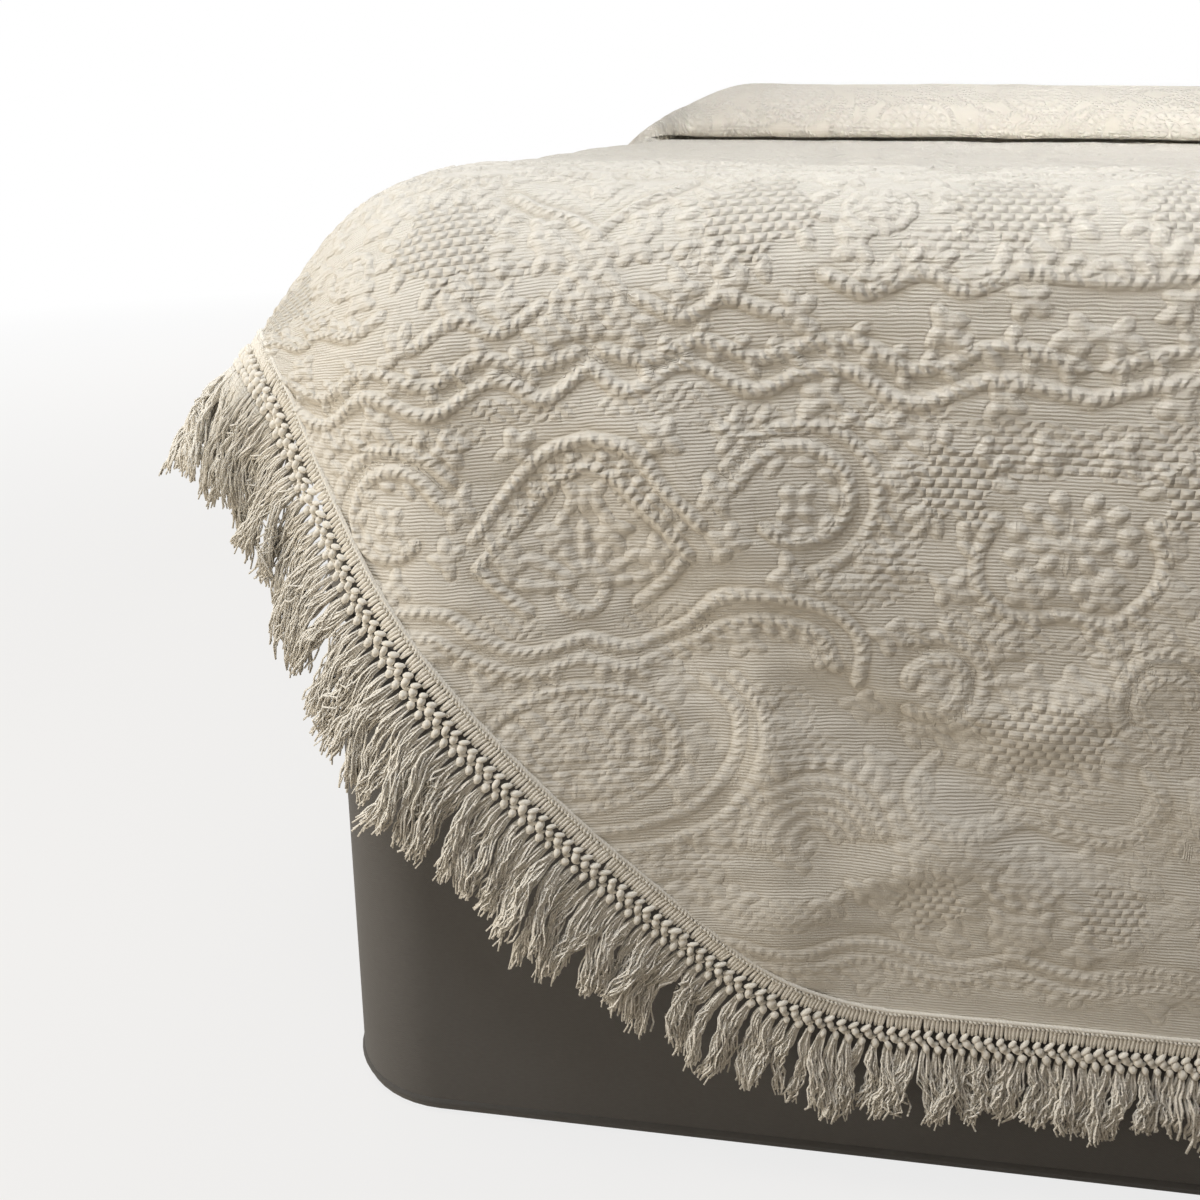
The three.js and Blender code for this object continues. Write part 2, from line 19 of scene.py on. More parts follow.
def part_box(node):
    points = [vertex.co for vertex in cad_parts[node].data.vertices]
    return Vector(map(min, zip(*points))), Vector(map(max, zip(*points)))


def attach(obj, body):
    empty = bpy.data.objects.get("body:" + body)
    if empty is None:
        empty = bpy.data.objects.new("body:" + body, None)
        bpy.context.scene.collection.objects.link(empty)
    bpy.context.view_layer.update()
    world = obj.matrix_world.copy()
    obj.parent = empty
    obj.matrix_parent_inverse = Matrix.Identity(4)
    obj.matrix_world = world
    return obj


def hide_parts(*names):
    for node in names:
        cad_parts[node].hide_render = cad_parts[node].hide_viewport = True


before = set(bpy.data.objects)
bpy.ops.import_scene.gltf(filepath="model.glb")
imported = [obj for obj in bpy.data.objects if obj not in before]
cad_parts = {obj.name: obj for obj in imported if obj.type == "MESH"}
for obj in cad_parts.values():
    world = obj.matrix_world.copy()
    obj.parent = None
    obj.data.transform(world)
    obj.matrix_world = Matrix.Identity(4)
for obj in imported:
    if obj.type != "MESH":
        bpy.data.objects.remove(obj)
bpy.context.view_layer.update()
LOG = logging.getLogger("bedspread")

Array = np.ndarray
Pair = tuple[float, float]
Triple = tuple[float, float, float]
Piece = bpy.types.Object
Material = bpy.types.Material
Socket = bpy.types.NodeSocket
Value = Socket | float
Ring = tuple[float, int, float]
Oval = tuple[float, float, float, float, float]

MM = 0.001
# Size of the table that soft unevenness is drawn from, and where its zero lies in it.
NOISE_TABLE = (257, 263)
NOISE_SHIFT = (71.3, 83.7)
# From the mattress's foot to the cloth's face there, and from that face back to the cloth's middle.
FOOT_GAP = 10.4 * MM
FOOT_FACE = 1.2 * MM


class Slot(Enum):
    """The record's material slots."""

    CLOTH = "spread_cloth"
    YARN = "fringe_yarn"
    PILLOW = "pillow_cloth"
    BED = "bed_cloth"


# ---- Small helpers ----
def rise01(value: Array, start: float, end: float) -> Array:
    """Smooth step from 0 at start to 1 at end."""
    share = np.clip((np.asarray(value, float) - start) / (end - start), 0, 1)
    return share * share * (3 - 2 * share)


def mix(a: Array, b: Array, share: Array) -> Array:
    """Linear blend from a to b."""
    return a + (b - a) * share


def unit(vectors: Array) -> Array:
    """Rows scaled to length one."""
    return vectors / np.maximum(np.linalg.norm(vectors, axis=-1, keepdims=True), 1e-12)


def reach_along(points: Array) -> Array:
    """Length along each line of points, from its start to every point."""
    steps = np.linalg.norm(np.diff(points, axis=-2), axis=-1)
    return np.concatenate([np.zeros((*steps.shape[:-1], 1)), np.cumsum(steps, axis=-1)], axis=-1)


def put_in_scene(name: str, data: bpy.types.ID) -> Piece:
    """Makes an object of a mesh, a lamp or a camera."""
    made = bpy.data.objects.new(name, data)
    bpy.context.scene.collection.objects.link(made)
    return made


def select_only(piece: Piece) -> None:
    """Selects one piece and makes it the active one."""
    bpy.ops.object.select_all(action="DESELECT")
    piece.select_set(True)
    bpy.context.view_layer.objects.active = piece


@dataclass(frozen=True)
class Uneven:
    """Smooth unevenness over the flat cloth: its height, its cells' size and the seed of its table."""

    height: float
    across: float
    run: float
    seed: int

    def at(self, across: Array, run: Array) -> Array:
        """Its height at flat points, up or down."""
        table = np.random.default_rng(self.seed).uniform(-1, 1, NOISE_TABLE)
        u, v = across / self.across + NOISE_SHIFT[0], run / self.run + NOISE_SHIFT[1]
        i, j = np.floor(u).astype(int), np.floor(v).astype(int)
        wide, tall = NOISE_TABLE
        near, far = (mix(table[i % wide, k % tall], table[(i + 1) % wide, k % tall], rise01(u - i, 0, 1))
                     for k in (j, j + 1))
        return mix(near, far, rise01(v - j, 0, 1)) * self.height


# ---- Meshes ----
@dataclass
class Stock:
    """Points, faces and texture coordinates gathered for one piece."""

    points: list[Array] = field(default_factory=list)
    loops: list[Array] = field(default_factory=list)
    sizes: list[Array] = field(default_factory=list)
    coords: list[Array] = field(default_factory=list)
    count: int = 0

    def add(self, points: Array, coords: Array, *faces: Array) -> None:
        """Adds points with a texture coordinate each, and faces as index rows of one length."""
        for rows in faces:
            rows = np.asarray(rows)
            if len(rows):
                self.loops.append((rows + self.count).ravel())
                self.sizes.append(np.full(len(rows), rows.shape[1]))
        self.points.append(points.reshape(-1, 3))
        self.coords.append(coords.reshape(-1, 2))
        self.count += len(self.points[-1])

    def piece(self, name: str, slot: Slot) -> Piece:
        """Makes the smoothly shaded object, with a UV map of the texture coordinates.

        Args:
            name: The piece's name.
            slot: The record's slot; not used.

        Returns:
            The new object, riding on the frame.
        """
        points, coords = np.concatenate(self.points), np.concatenate(self.coords)
        loops, sizes = np.concatenate(self.loops), np.concatenate(self.sizes)
        mesh = bpy.data.meshes.new(name)
        mesh.vertices.add(len(points))
        mesh.vertices.foreach_set("co", points.astype(np.float32).ravel())
        mesh.loops.add(len(loops))
        mesh.loops.foreach_set("vertex_index", loops.astype(np.int32))
        mesh.polygons.add(len(sizes))
        starts = np.concatenate([[0], np.cumsum(sizes)[:-1]])
        mesh.polygons.foreach_set("loop_start", starts.astype(np.int32))
        mesh.update(calc_edges=True)
        layer = mesh.uv_layers.new(name="UVMap")
        layer.data.foreach_set("uv", coords[loops].astype(np.float32).ravel())
        mesh.shade_smooth()
        mesh.validate()
        piece = put_in_scene(name, mesh)
        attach(piece, "root")
        LOG.info("%s: %d triangles", name, int((sizes - 2).sum()))
        return piece


def grid_faces(rows: int, columns: int, around: bool = False) -> Array:
    """Quads of a grid of points stored row by row.

    Args:
        rows: Number of rows.
        columns: Number of points in a row.
        around: Whether the last column joins the first.

    Returns:
        One row of four indices per quad.
    """
    i, j = np.meshgrid(np.arange(rows - 1), np.arange(columns if around else columns - 1), indexing="ij")
    nxt = (j + 1) % columns
    quads = [i * columns + j, i * columns + nxt, (i + 1) * columns + nxt, (i + 1) * columns + j]
    return np.stack(quads, -1).reshape(-1, 4)


def add_tubes(stock: Stock, lines: Array, radii: Array, ups: Array, sides: int) -> None:
    """Adds many tubes of equal station count, closed at both ends.

    Args:
        stock: Where they go.
        lines: Centrelines, tube by station by three.
        radii: Radius at each tube and station.
        ups: A direction across each tube's start.
        sides: Faces round a tube.
    """
    tubes, steps = lines.shape[:2]
    along = unit(np.gradient(lines, axis=1))
    aside = unit(np.cross(along, ups[:, None, :]))
    over = np.cross(aside, along)
    turn = 2 * math.pi * np.arange(sides) / sides
    ring = (np.cos(turn)[None, None, :, None] * aside[:, :, None, :]
            + np.sin(turn)[None, None, :, None] * over[:, :, None, :])
    points = lines[:, :, None, :] + radii[:, :, None, None] * ring
    length = reach_along(lines)
    coords = np.stack(np.broadcast_arrays((turn / (2 * math.pi))[None, None, :], length[:, :, None]), -1)
    block = steps * sides
    quads = grid_faces(steps, sides, around=True)
    starts = np.arange(tubes)[:, None, None] * block
    caps = np.stack([np.arange(sides)[::-1], block - sides + np.arange(sides)])
    stock.add(points, coords, (quads + starts).reshape(-1, 4), (caps + starts).reshape(-1, sides))


def add_beads(stock: Stock, places: Array, frames: Array, sizes: Array,
              rings: int = 4, segments: int = 6) -> None:
    """Adds egg-shaped beads.

    Args:
        stock: Where they go.
        places: Middle of each bead.
        frames: Three unit directions of each bead, as rows: long, wide, thick.
        sizes: Half length, half width and half thickness of each bead.
        rings: Rings of points between the poles.
        segments: Points round a ring.
    """
    lift = np.pi * (np.arange(rings) + 1) / (rings + 1)
    turn = 2 * np.pi * np.arange(segments) / segments
    ring = np.stack(np.broadcast_arrays(np.cos(lift)[:, None], np.sin(lift)[:, None] * np.cos(turn),
                                        np.sin(lift)[:, None] * np.sin(turn)), -1).reshape(-1, 3)
    shape = np.concatenate([ring, [[1, 0, 0], [-1, 0, 0]]])
    points = places[:, None, :] + np.einsum("va,na,nac->nvc", shape, sizes, frames)
    span = rings * segments
    one = np.concatenate([np.stack(np.broadcast_arrays(turn / (2 * np.pi), lift[:, None] / np.pi), -1)
                          .reshape(-1, 2), [[0.5, 0], [0.5, 1]]])
    coords = np.broadcast_to(one, (len(places), len(one), 2)) * [1.0, 0.006]
    quads = grid_faces(rings, segments, around=True)
    i, last = np.arange(segments), span - segments
    nxt = (i + 1) % segments
    caps = np.concatenate([np.stack([np.full(segments, span), nxt, i], -1),
                           np.stack([np.full(segments, span + 1), last + i, last + nxt], -1)])
    starts = np.arange(len(places))[:, None, None] * (span + 2)
    stock.add(points, coords, (quads + starts).reshape(-1, 4), (caps + starts).reshape(-1, 3))


# ---- How the cloth lies ----
@dataclass(frozen=True)
class Fold:
    """A soft fold of the hanging cloth: its middle, heading in degrees, half sizes and height."""

    across: float
    below: float
    heading: float
    length: float
    width: float
    height: float


FOLDS = tuple(Fold(*(v * MM if i != 2 else v for i, v in enumerate(row))) for row in (
    (-455, 120, 35, 110, 34, 6), (-470, 215, 48, 90, 30, -5), (-400, 190, 38, 100, 32, 5),
    (-290, 345, 28, 120, 36, 7), (-300, 290, 25, 110, 30, -6), (-375, 400, 75, 90, 30, 5),
    (-60, 250, 24, 150, 45, 6), (90, 340, 155, 140, 45, -6), (240, 230, 150, 150, 42, 7),
    (400, 180, 140, 120, 36, -5), (470, 240, 132, 110, 34, 6),
    (-385, 300, 82, 62, 13, 3.4), (-300, 262, 16, 66, 12, 3.0), (-250, 330, 32, 78, 13, -3.4),
    (-330, 372, 152, 64, 13, 3.0), (-215, 250, 140, 80, 14, 3.2), (-430, 262, 60, 60, 12, -2.6),
    (-120, 330, 24, 90, 15, 3.2), (60, 280, 158, 90, 15, 3.2), (330, 300, 100, 80, 14, 3.0),
))


class Part(Enum):
    """Stretches of the cloth past the tuck, from the mattress up to the head hem."""

    UNDER = 0
    TURN = 1
    LIP = 2
    FRONT = 3
    CROWN = 4
    BACK = 5
    BEHIND = 6


@dataclass(frozen=True)
class Drape:
    """The sheet's middle surface: falls over the foot and both sides, tucked under a pillow.

    Its turns are in degrees. A pair holds the distances, across or along, between which a change goes on.
    """

    foot_y: float
    top: float = 0.5988
    half_width: float = 0.690
    bed_length: float = 1.913
    edge_radius: float = 0.049
    corner_radius: float = 0.121
    hem_radius: float = 0.165
    growth: float = 0.350
    hem_growth: float = 0.110
    shoulder_on_top: float = 0.122
    shoulder_on_drop: float = 0.138
    turn_at_head: float = 84.0
    turn_at_foot: float = 69.0
    turn_on_drop: float = 29.5
    flare_rate: float = 0.111
    flare_growth: float = 0.354
    flare_fall: float = 0.300
    flare_sideways: float = 0.6
    tuck_y: float = 1.250
    inward: float = 0.054
    layer_rise: float = 0.006
    lip_radius: float = 0.009
    lip_setback: float = 0.006
    pillow_rise: float = 0.068
    step: float = 0.008
    steepens: Pair = (-0.700, -0.100)
    loosens_from: float = -0.200
    fade: float = 0.060
    pillow_sides: Pair = (0.465, 0.680)
    tuck_sides: Pair = (0.540, 0.615)
    layer_sides: Pair = (0.615, 0.668)
    front: float = 0.117
    crown: float = 0.175
    back: float = 0.355
    head_gap: float = 0.026

    def foot_radius(self, across: Array) -> Array:
        """Radius of the fall over the foot."""
        corner = rise01(across, self.half_width - self.growth, self.half_width)
        hem = rise01(across, self.half_width, self.half_width + self.hem_growth)
        radius = mix(self.edge_radius, self.corner_radius, corner)
        return radius + (self.hem_radius - self.corner_radius) * hem

    def edge_start(self, across: Array) -> Array:
        """Run at which the cloth starts to bend over the foot."""
        return self.corner_radius - self.foot_radius(across)

    def edge_end(self, across: Array) -> Array:
        """Run at which the cloth hangs."""
        return self.edge_start(across) + self.foot_radius(across) * math.pi / 2

    def shoulder(self, across: Array, on_drop: Array, turn: Array) -> tuple[Array, Array]:
        """Section across the bed.

        Args:
            across: Flat distance from the middle line.
            on_drop: 0 on the top, 1 where the cloth hangs over the foot.
            turn: How far round the shoulder turns, in radians.

        Returns:
            The distance from the middle line and the fall.
        """
        radius = mix(self.shoulder_on_top, self.shoulder_on_drop, on_drop)
        flat = self.half_width - radius
        past = np.maximum(across - flat, 0)
        angle = np.minimum(past / radius, turn)
        rest = np.maximum(past - radius * turn, 0)
        x = np.minimum(across, flat) + radius * np.sin(angle) + rest * np.cos(turn)
        return x, radius * (1 - np.cos(angle)) + rest * np.sin(turn)

    def fold_height(self, x: Array, below: Array) -> Array:
        """Height of the soft folds where the cloth hangs."""
        height = np.zeros_like(x)
        for fold in FOLDS:
            angle = math.radians(fold.heading)
            dx, dz = x - fold.across, below - fold.below
            along = (dx * math.cos(angle) + dz * math.sin(angle)) / fold.length
            aside = (-dx * math.sin(angle) + dz * math.cos(angle)) / fold.width
            height += fold.height * np.exp(-along * along - aside * aside)
        return height

    def lying_and_foot(self, across: Array, run: Array) -> Array:
        """Points of the sheet from the tuck to the foot hem, by flat coordinates."""
        side, out = np.where(across < 0, -1.0, 1.0), np.abs(across)
        radius, start, end = self.foot_radius(out), self.edge_start(out), self.edge_end(out)
        angle = np.clip((run - start) / radius, 0, math.pi / 2)
        drop = np.maximum(run - end, 0)
        on_drop = rise01(run, start, end)
        near = rise01(run, *self.steepens)
        share = rise01(run, self.loosens_from, end + self.fade)
        turn = np.radians(mix(mix(self.turn_at_head, self.turn_at_foot, near), self.turn_on_drop, share))
        x, fall = self.shoulder(out, on_drop, turn)
        swing = (self.flare_rate * rise01(out, self.half_width - self.flare_growth, self.half_width)
                 * drop * np.sqrt(drop / self.flare_fall))
        folds = self.fold_height(side * x, drop + radius) * rise01(drop, 0, self.fade)
        lying = np.maximum(start - run, 0)
        y = lying + radius - (radius - fall) * np.sin(angle) - swing - folds
        z = self.top - radius + (radius - fall) * np.cos(angle) - drop
        return np.stack([side * (x + self.flare_sideways * swing), self.foot_y + y, z], -1)

    def past_tuck(self, across: Array, part: Part, share: Array) -> Array:
        """Points of the sheet past the tuck.

        Args:
            across: Flat distance from the middle line, signed.
            part: The stretch.
            share: Place on the stretch, 0 at its end toward the foot and 1 toward the head.

        Returns:
            One point per value.
        """
        side, out = np.where(across < 0, -1.0, 1.0), np.abs(across)
        up = 1 - rise01(out, *self.pillow_sides)
        fold = 1 - rise01(out, *self.tuck_sides)
        layer = self.layer_rise * (1 - rise01(out, *self.layer_sides))
        lip = self.lip_radius * np.minimum(1, 3.8 * up)
        crown = layer + self.pillow_rise * up
        front, front_end = self.tuck_y + self.lip_setback - self.lip_radius, self.tuck_y + self.front
        crown_end, back_end = front_end + self.crown, front_end + self.back
        quarter = share * math.pi / 2

        def plain(order: float) -> float:
            """Where a row lies beside the pillow, by its order from the tuck."""
            return self.tuck_y - self.step * order

        if part is Part.UNDER:
            y = mix(plain(6 - share), mix(plain(6), self.tuck_y + self.inward, share), fold)
            z = np.zeros_like(out)
        elif part is Part.TURN:
            y = mix(plain(5 - 2 * share), self.tuck_y + self.inward
                    + self.layer_rise / 2 * np.sin(math.pi * share), fold)
            z = layer * (1 - np.cos(math.pi * share)) / 2
        elif part is Part.LIP:
            y = mix(plain(2 - 1.6 * share), self.tuck_y + self.lip_setback
                    - self.lip_radius * np.sin(quarter), fold)
            z = layer + lip * (1 - np.cos(quarter))
        elif part is Part.FRONT:
            y = front_end - (front_end - front) * np.cos(quarter)
            z = layer + lip + (crown - layer - lip) * np.sin(quarter)
        elif part is Part.CROWN:
            y, z = mix(front_end, crown_end, share), crown
        elif part is Part.BACK:
            y, z = mix(crown_end, back_end, share), crown * (1 + np.cos(math.pi * share)) / 2
        else:
            y, z = mix(back_end, self.bed_length - self.head_gap, share), np.zeros_like(out)
        x, fall = self.shoulder(out, 0.0, math.radians(self.turn_at_head))
        y = y + self.foot_y - FOOT_FACE
        return np.stack(np.broadcast_arrays(side * x, y, self.top + z - fall), -1)

    def normals(self, across: Array, run: Array) -> Array:
        """Outward unit normals of the lying and hanging cloth."""
        step = 1.5 * MM
        over = self.lying_and_foot(across + step, run) - self.lying_and_foot(across - step, run)
        along = self.lying_and_foot(across, run - step) - self.lying_and_foot(across, run + step)
        return unit(np.cross(over, along))


# Run of the last row that lies flat before the tuck.
LYING_FROM = Drape.corner_radius - (Drape.tuck_y - Drape.step * 6 - FOOT_FACE)


@dataclass(frozen=True)
class Cut:
    """The cut cloth: straight side hems, and a foot hem that curves up at both corners."""

    drape: Drape
    hem_drop: float = 0.409
    straight: float = 0.300
    bends: tuple[Pair, ...] = ((0.111, 44.0), (0.359, 10.5), (0.544, 35.5))

    def foot_run(self) -> float:
        """Run of the foot hem at the bed's middle."""
        return float(self.drape.edge_end(np.array(0.0))) + self.hem_drop

    def half_outline(self, turn_step: float = 1.5) -> Array:
        """Flat points from the middle of the foot hem to the start of the side hem."""
        points = [(0.0, self.foot_run()), (self.straight, self.foot_run())]
        heading = 0.0
        for length, degrees in self.bends:
            steps = max(2, round(degrees / turn_step))
            turn = math.radians(degrees) / steps
            radius = length / math.radians(degrees)
            for _ in range(steps):
                across, run = points[-1]
                across += radius * (math.sin(heading + turn) - math.sin(heading))
                run -= radius * (math.cos(heading) - math.cos(heading + turn))
                points.append((across, run))
                heading += turn
        return np.array(points)

    def depth(self, across: Array, run: Array) -> tuple[Array, Array]:
        """Distance inside the foot hem, and the outward direction there.

        Args:
            across: Signed flat distance from the middle line.
            run: Flat distance toward the foot.

        Returns:
            The distance, negative outside, and the direction in flat coordinates.
        """
        outline = self.half_outline()
        away = unit(np.diff(outline, axis=0)) @ np.array([[0.0, -1.0], [1.0, 0.0]])
        away = np.where(away[:, 1:] < 0, -away, away)
        best = np.full(across.shape, np.inf)
        toward = np.zeros(across.shape + (2,))
        for place, direction in zip(outline[:-1], away):
            inside = (place[0] - np.abs(across)) * direction[0] + (place[1] - run) * direction[1]
            nearer = inside < best
            best = np.where(nearer, inside, best)
            toward[nearer] = direction
        toward[..., 0] *= np.where(across < 0, -1, 1)
        return best, toward


# ---- The raised pattern ----
@dataclass(frozen=True)
class Cord:
    """A raised line of the weave, through flat points in millimetres."""

    points: Array
    half_width: float = 3.3
    height: float = 1.5


@dataclass(frozen=True)
class Lobe:
    """A raised oval of the weave, in millimetres and degrees."""

    x: float
    y: float
    long: float = 7.0
    wide: float = 3.6
    angle: float = 0.0
    height: float = 1.4


@dataclass(frozen=True)
class Field:
    """A patch of the weave filled with a small figure: ovals that run together."""

    ovals: tuple[Oval, ...]
    waffle: bool = True


def curve(points: tuple[Pair, ...], spacing: float = 3.0) -> Array:
    """Smooth line through control points, as evenly spaced points."""
    p = np.array(points, float)
    p = np.concatenate([2 * p[:1] - p[1:2], p, 2 * p[-1:] - p[-2:-1]])
    t = np.linspace(0, 1, 24, endpoint=False)[:, None]
    pieces = [0.5 * (2 * b + (c - a) * t + (2 * a - 5 * b + 4 * c - d) * t * t
                     + (3 * b - a - 3 * c + d) * t ** 3) for a, b, c, d in zip(p, p[1:], p[2:], p[3:])]
    line = np.concatenate(pieces + [p[-2:-1]])
    along = reach_along(line)
    at = np.linspace(0, along[-1], max(2, round(along[-1] / spacing)))
    return np.stack([np.interp(at, along, line[:, k]) for k in (0, 1)], -1)


def arc(x: float, y: float, start: float, end: float, radius: float, end_radius: float | None = None,
        squash: float = 1.0) -> Array:
    """Arc or spiral round a point, from one angle to another, in degrees."""
    last = radius if end_radius is None else end_radius
    count = max(3, round(abs(math.radians(end - start)) * max(radius, last) / 3.0))
    angle = np.radians(np.linspace(start, end, count))
    reach = np.linspace(radius, last, count)
    return np.stack([x + reach * np.cos(angle), y + squash * reach * np.sin(angle)], -1)


@dataclass
class Figure:
    """One repeat of the pattern: its cords, lobes and fields."""

    cords: list[Cord] = field(default_factory=list)
    lobes: list[Lobe] = field(default_factory=list)
    fields: list[Field] = field(default_factory=list)

    def petal(self, x: float, y: float, reach: float, angle: float, long: float, wide: float,
              turn: float = 0.0, height: float = 1.4, squash: float = 1.0) -> None:
        """Adds a lobe at a distance from a point.

        Args:
            x: Place of the point across.
            y: Place of the point along the run.
            reach: Distance of the lobe's middle.
            angle: Angle at which it lies, in degrees.
            long: Its half length.
            wide: Its half width.
            turn: How far it is turned past that angle.
            height: Its height.
            squash: Share of the distance kept along the run.
        """
        way = math.radians(angle)
        x, y = x + reach * math.cos(way), y + squash * reach * math.sin(way)
        self.lobes.append(Lobe(x, y, long, wide, angle + turn, height))

    def pebbled(self, *ovals: Oval) -> None:
        """Adds a pebbled patch of ovals that run together."""
        self.fields.append(Field(ovals, waffle=False))

    def line(self, *points: Pair, width: float = 3.3) -> None:
        """Adds a cord through control points."""
        self.cords.append(Cord(curve(points), width))

    def garland(self, *points: Pair, side: int = 0, long: float = 5.6, gap: float = 9.5) -> None:
        """Adds a cord with leaves along it.

        Args:
            points: Its control points.
            side: -1 or 1 for leaves on one side, 0 for both in turn.
            long: Half length of a leaf.
            gap: Distance between leaves.
        """
        line = curve(points, gap)
        self.line(*points, width=3.0)
        step = np.gradient(line, axis=0)
        for k in range(1, len(line) - 1):
            hand = side or (-1) ** k
            heading = math.degrees(math.atan2(step[k, 1], step[k, 0])) + hand * 52
            self.petal(*line[k], long + 2.6, heading, long, 2.9, height=1.15)

    def scroll(self, x: float, y: float, size: float, start: float, hand: int = 1) -> None:
        """Adds a scroll that winds in to an eye of lobes, inside a second cord edged with leaves."""
        outer = arc(x, y, start + hand * 10, start + hand * 235, size + 9.5, size + 7)
        self.cords.append(Cord(arc(x, y, start, start + hand * 300, size, size * 0.62), 3.5))
        self.cords.append(Cord(outer, 2.9, 1.1))
        self.ring(x, y, size * 0.20, size * 0.20, 4, 4.4, 3.2)
        for k in range(9):
            self.petal(x, y, size + 17.5 - 0.5 * k, start + hand * (20 + 26 * k), 5.2, 3.2, hand * 38, 1.1)
        for k in range(7):
            self.petal(x, y, size * (0.70 - 0.035 * k), start + hand * (36 + 40 * k), 5.0, 3.0, 70, 1.0)

    def ring(self, x: float, y: float, rx: float, ry: float, count: int, long: float, wide: float,
             radial: bool = True) -> None:
        """Adds a ring of lobes, pointing outward or lying round."""
        for k in range(count):
            angle = 2 * math.pi * (k + 0.5) / count
            dx, dy = rx * math.cos(angle), ry * math.sin(angle)
            heading = math.degrees(math.atan2(dy, dx)) + (0 if radial else 90)
            self.lobes.append(Lobe(x + dx, y + dy, long, wide, heading))

    def rosette(self, x: float, y: float, size: float) -> None:
        """Adds a flower of two rings of petals."""
        self.ring(x, y, size * 0.16, size * 0.14, 3, 3.4, 2.8)
        self.ring(x, y, size * 0.52, size * 0.46, 7, size * 0.21, 3.3)
        self.ring(x, y, size, size * 0.86, 12, size * 0.19, 4.0)

    def leaf(self, x: float, y: float, size: float, heading: float, lobes: int = 5) -> None:
        """Adds a waffled leaf edged with two rows of lobes."""
        ovals = [(x, y, size * 0.74, size * 0.50, heading)]
        for k in range(lobes):
            angle = heading + 234 * (k - (lobes - 1) / 2) / lobes
            way = math.radians(angle)
            ovals.append((x + size * 0.50 * math.cos(way), y + size * 0.42 * math.sin(way),
                          size * 0.46, size * 0.28, angle))
            for step, reach in ((-22, 1.04), (0, 1.22), (22, 1.04)):
                self.petal(x, y, size * reach, angle + 0.66 * step, 6.2, 3.3, 0.84 * step, 1.15, 0.86)
        self.fields.append(Field(tuple(ovals)))
        for k in (-1, 0, 1):
            back = heading + 180 + math.degrees(0.55) * k
            self.petal(x, y, size * 0.84, back, 6.6, 3.2, 12 * k, 1.1, 0.70 / 0.84)

    def medallion(self, x: float, y: float, rx: float, ry: float, join: float) -> None:
        """Adds an oval medallion of petals on a pebbled ground, its ring joined at an angle."""
        self.pebbled((x, y, rx * 1.36, ry * 1.44, 0.0))
        self.ring(x, y, rx * 0.96, ry * 0.94, 17, 6.6, 4.6)
        self.ring(x, y, rx * 0.64, ry * 0.58, 12, 4.6, 3.2, radial=False)
        self.ring(x, y, rx * 0.14, ry * 0.14, 3, 3.6, 2.8)
        self.cords.append(Cord(arc(x, y, join, join + 360, rx * 1.30, squash=ry / rx * 1.05), 2.9, 1.1))

    def spray(self, x: float, y: float, reach: float, heading: float, count: int = 7) -> None:
        """Adds a fan of lobes over a short cord."""
        for k in range(count):
            for share, wide in ((0.42, 2.8), (0.78, 3.4), (1.14, 3.2)):
                self.petal(x, y, reach * share, heading + (k - (count - 1) / 2) * 27, 5.8, wide)
        self.cords.append(Cord(arc(x, y, heading + 105, heading + 255, reach * 0.45), 3.0))

    def fan(self, x: float, y: float, first: float, count: int, start: float, end: float) -> None:
        """Adds concentric arcs of cord under a row of lobes."""
        for k in range(count):
            self.cords.append(Cord(arc(x, y, start, end, first + 9.0 * k), 2.9, 1.15))
        reach = first + 9.0 * count + 1
        steps = max(4, round(math.radians(abs(end - start)) * reach / 9.5))
        for k in range(steps + 1):
            self.petal(x, y, reach, start + (end - start) * k / steps, 5.4, 3.3, height=1.1)

    def sprigs(self, *places: Triple) -> None:
        """Adds small sprigs of three leaves, each at a place and heading."""
        for x, y, heading in places:
            for step, reach in ((-62, 6.0), (0, 8.5), (62, 6.0), (180, 4.0)):
                self.petal(x, y, reach, heading + step, 5.8, 3.5, height=1.15)

    def fill(self, top: float, bottom: float, seed: int, apart: float = 19.0) -> None:
        """Scatters small sprigs where the ground is still open.

        Args:
            top: Where the figure starts.
            bottom: Where it ends.
            seed: Picks the places.
            apart: Least distance between two sprigs.
        """
        rng = np.random.default_rng(seed)
        u, v = np.meshgrid(np.arange(7.0, HALF_REPEAT - 4, 5.0), np.arange(top, bottom, 5.0))
        spots = np.stack([u.ravel(), v.ravel()], -1) + rng.uniform(-2, 2, (u.size, 2))
        relief = Relief.blank(len(spots))
        relief.read(self, spots[:, 0], spots[:, 1])
        bare = (relief.cord > 10.5) & (relief.lobe < -4.5) & (relief.waffle < -6) & (relief.pebble < -6)
        taken: list[Pair] = []
        for x, y in rng.permutation(spots[bare]):
            if all(math.hypot(x - a, y - b) > apart for a, b in taken):
                taken.append((x, y))
        self.sprigs(*((x, y, rng.uniform(0, 360)) for x, y in taken))


# The pattern's mirror axes lie every 2 * HALF_REPEAT from AXIS, in millimetres across.
HALF_REPEAT = 243.5
AXIS = -487.0
# Run over which the drawn figures begin, and the gain of their relief: at the edge, at the hem, from, to.
FIGURES_FROM = (-112 * MM, -80 * MM)
FULLNESS = (1.42, 0.60, 190 * MM, 410 * MM)
DRIFT_ACROSS = Uneven(1.8, 0.021, 0.021, 15)
DRIFT_RUN = Uneven(1.6, 0.024, 0.017, 16)


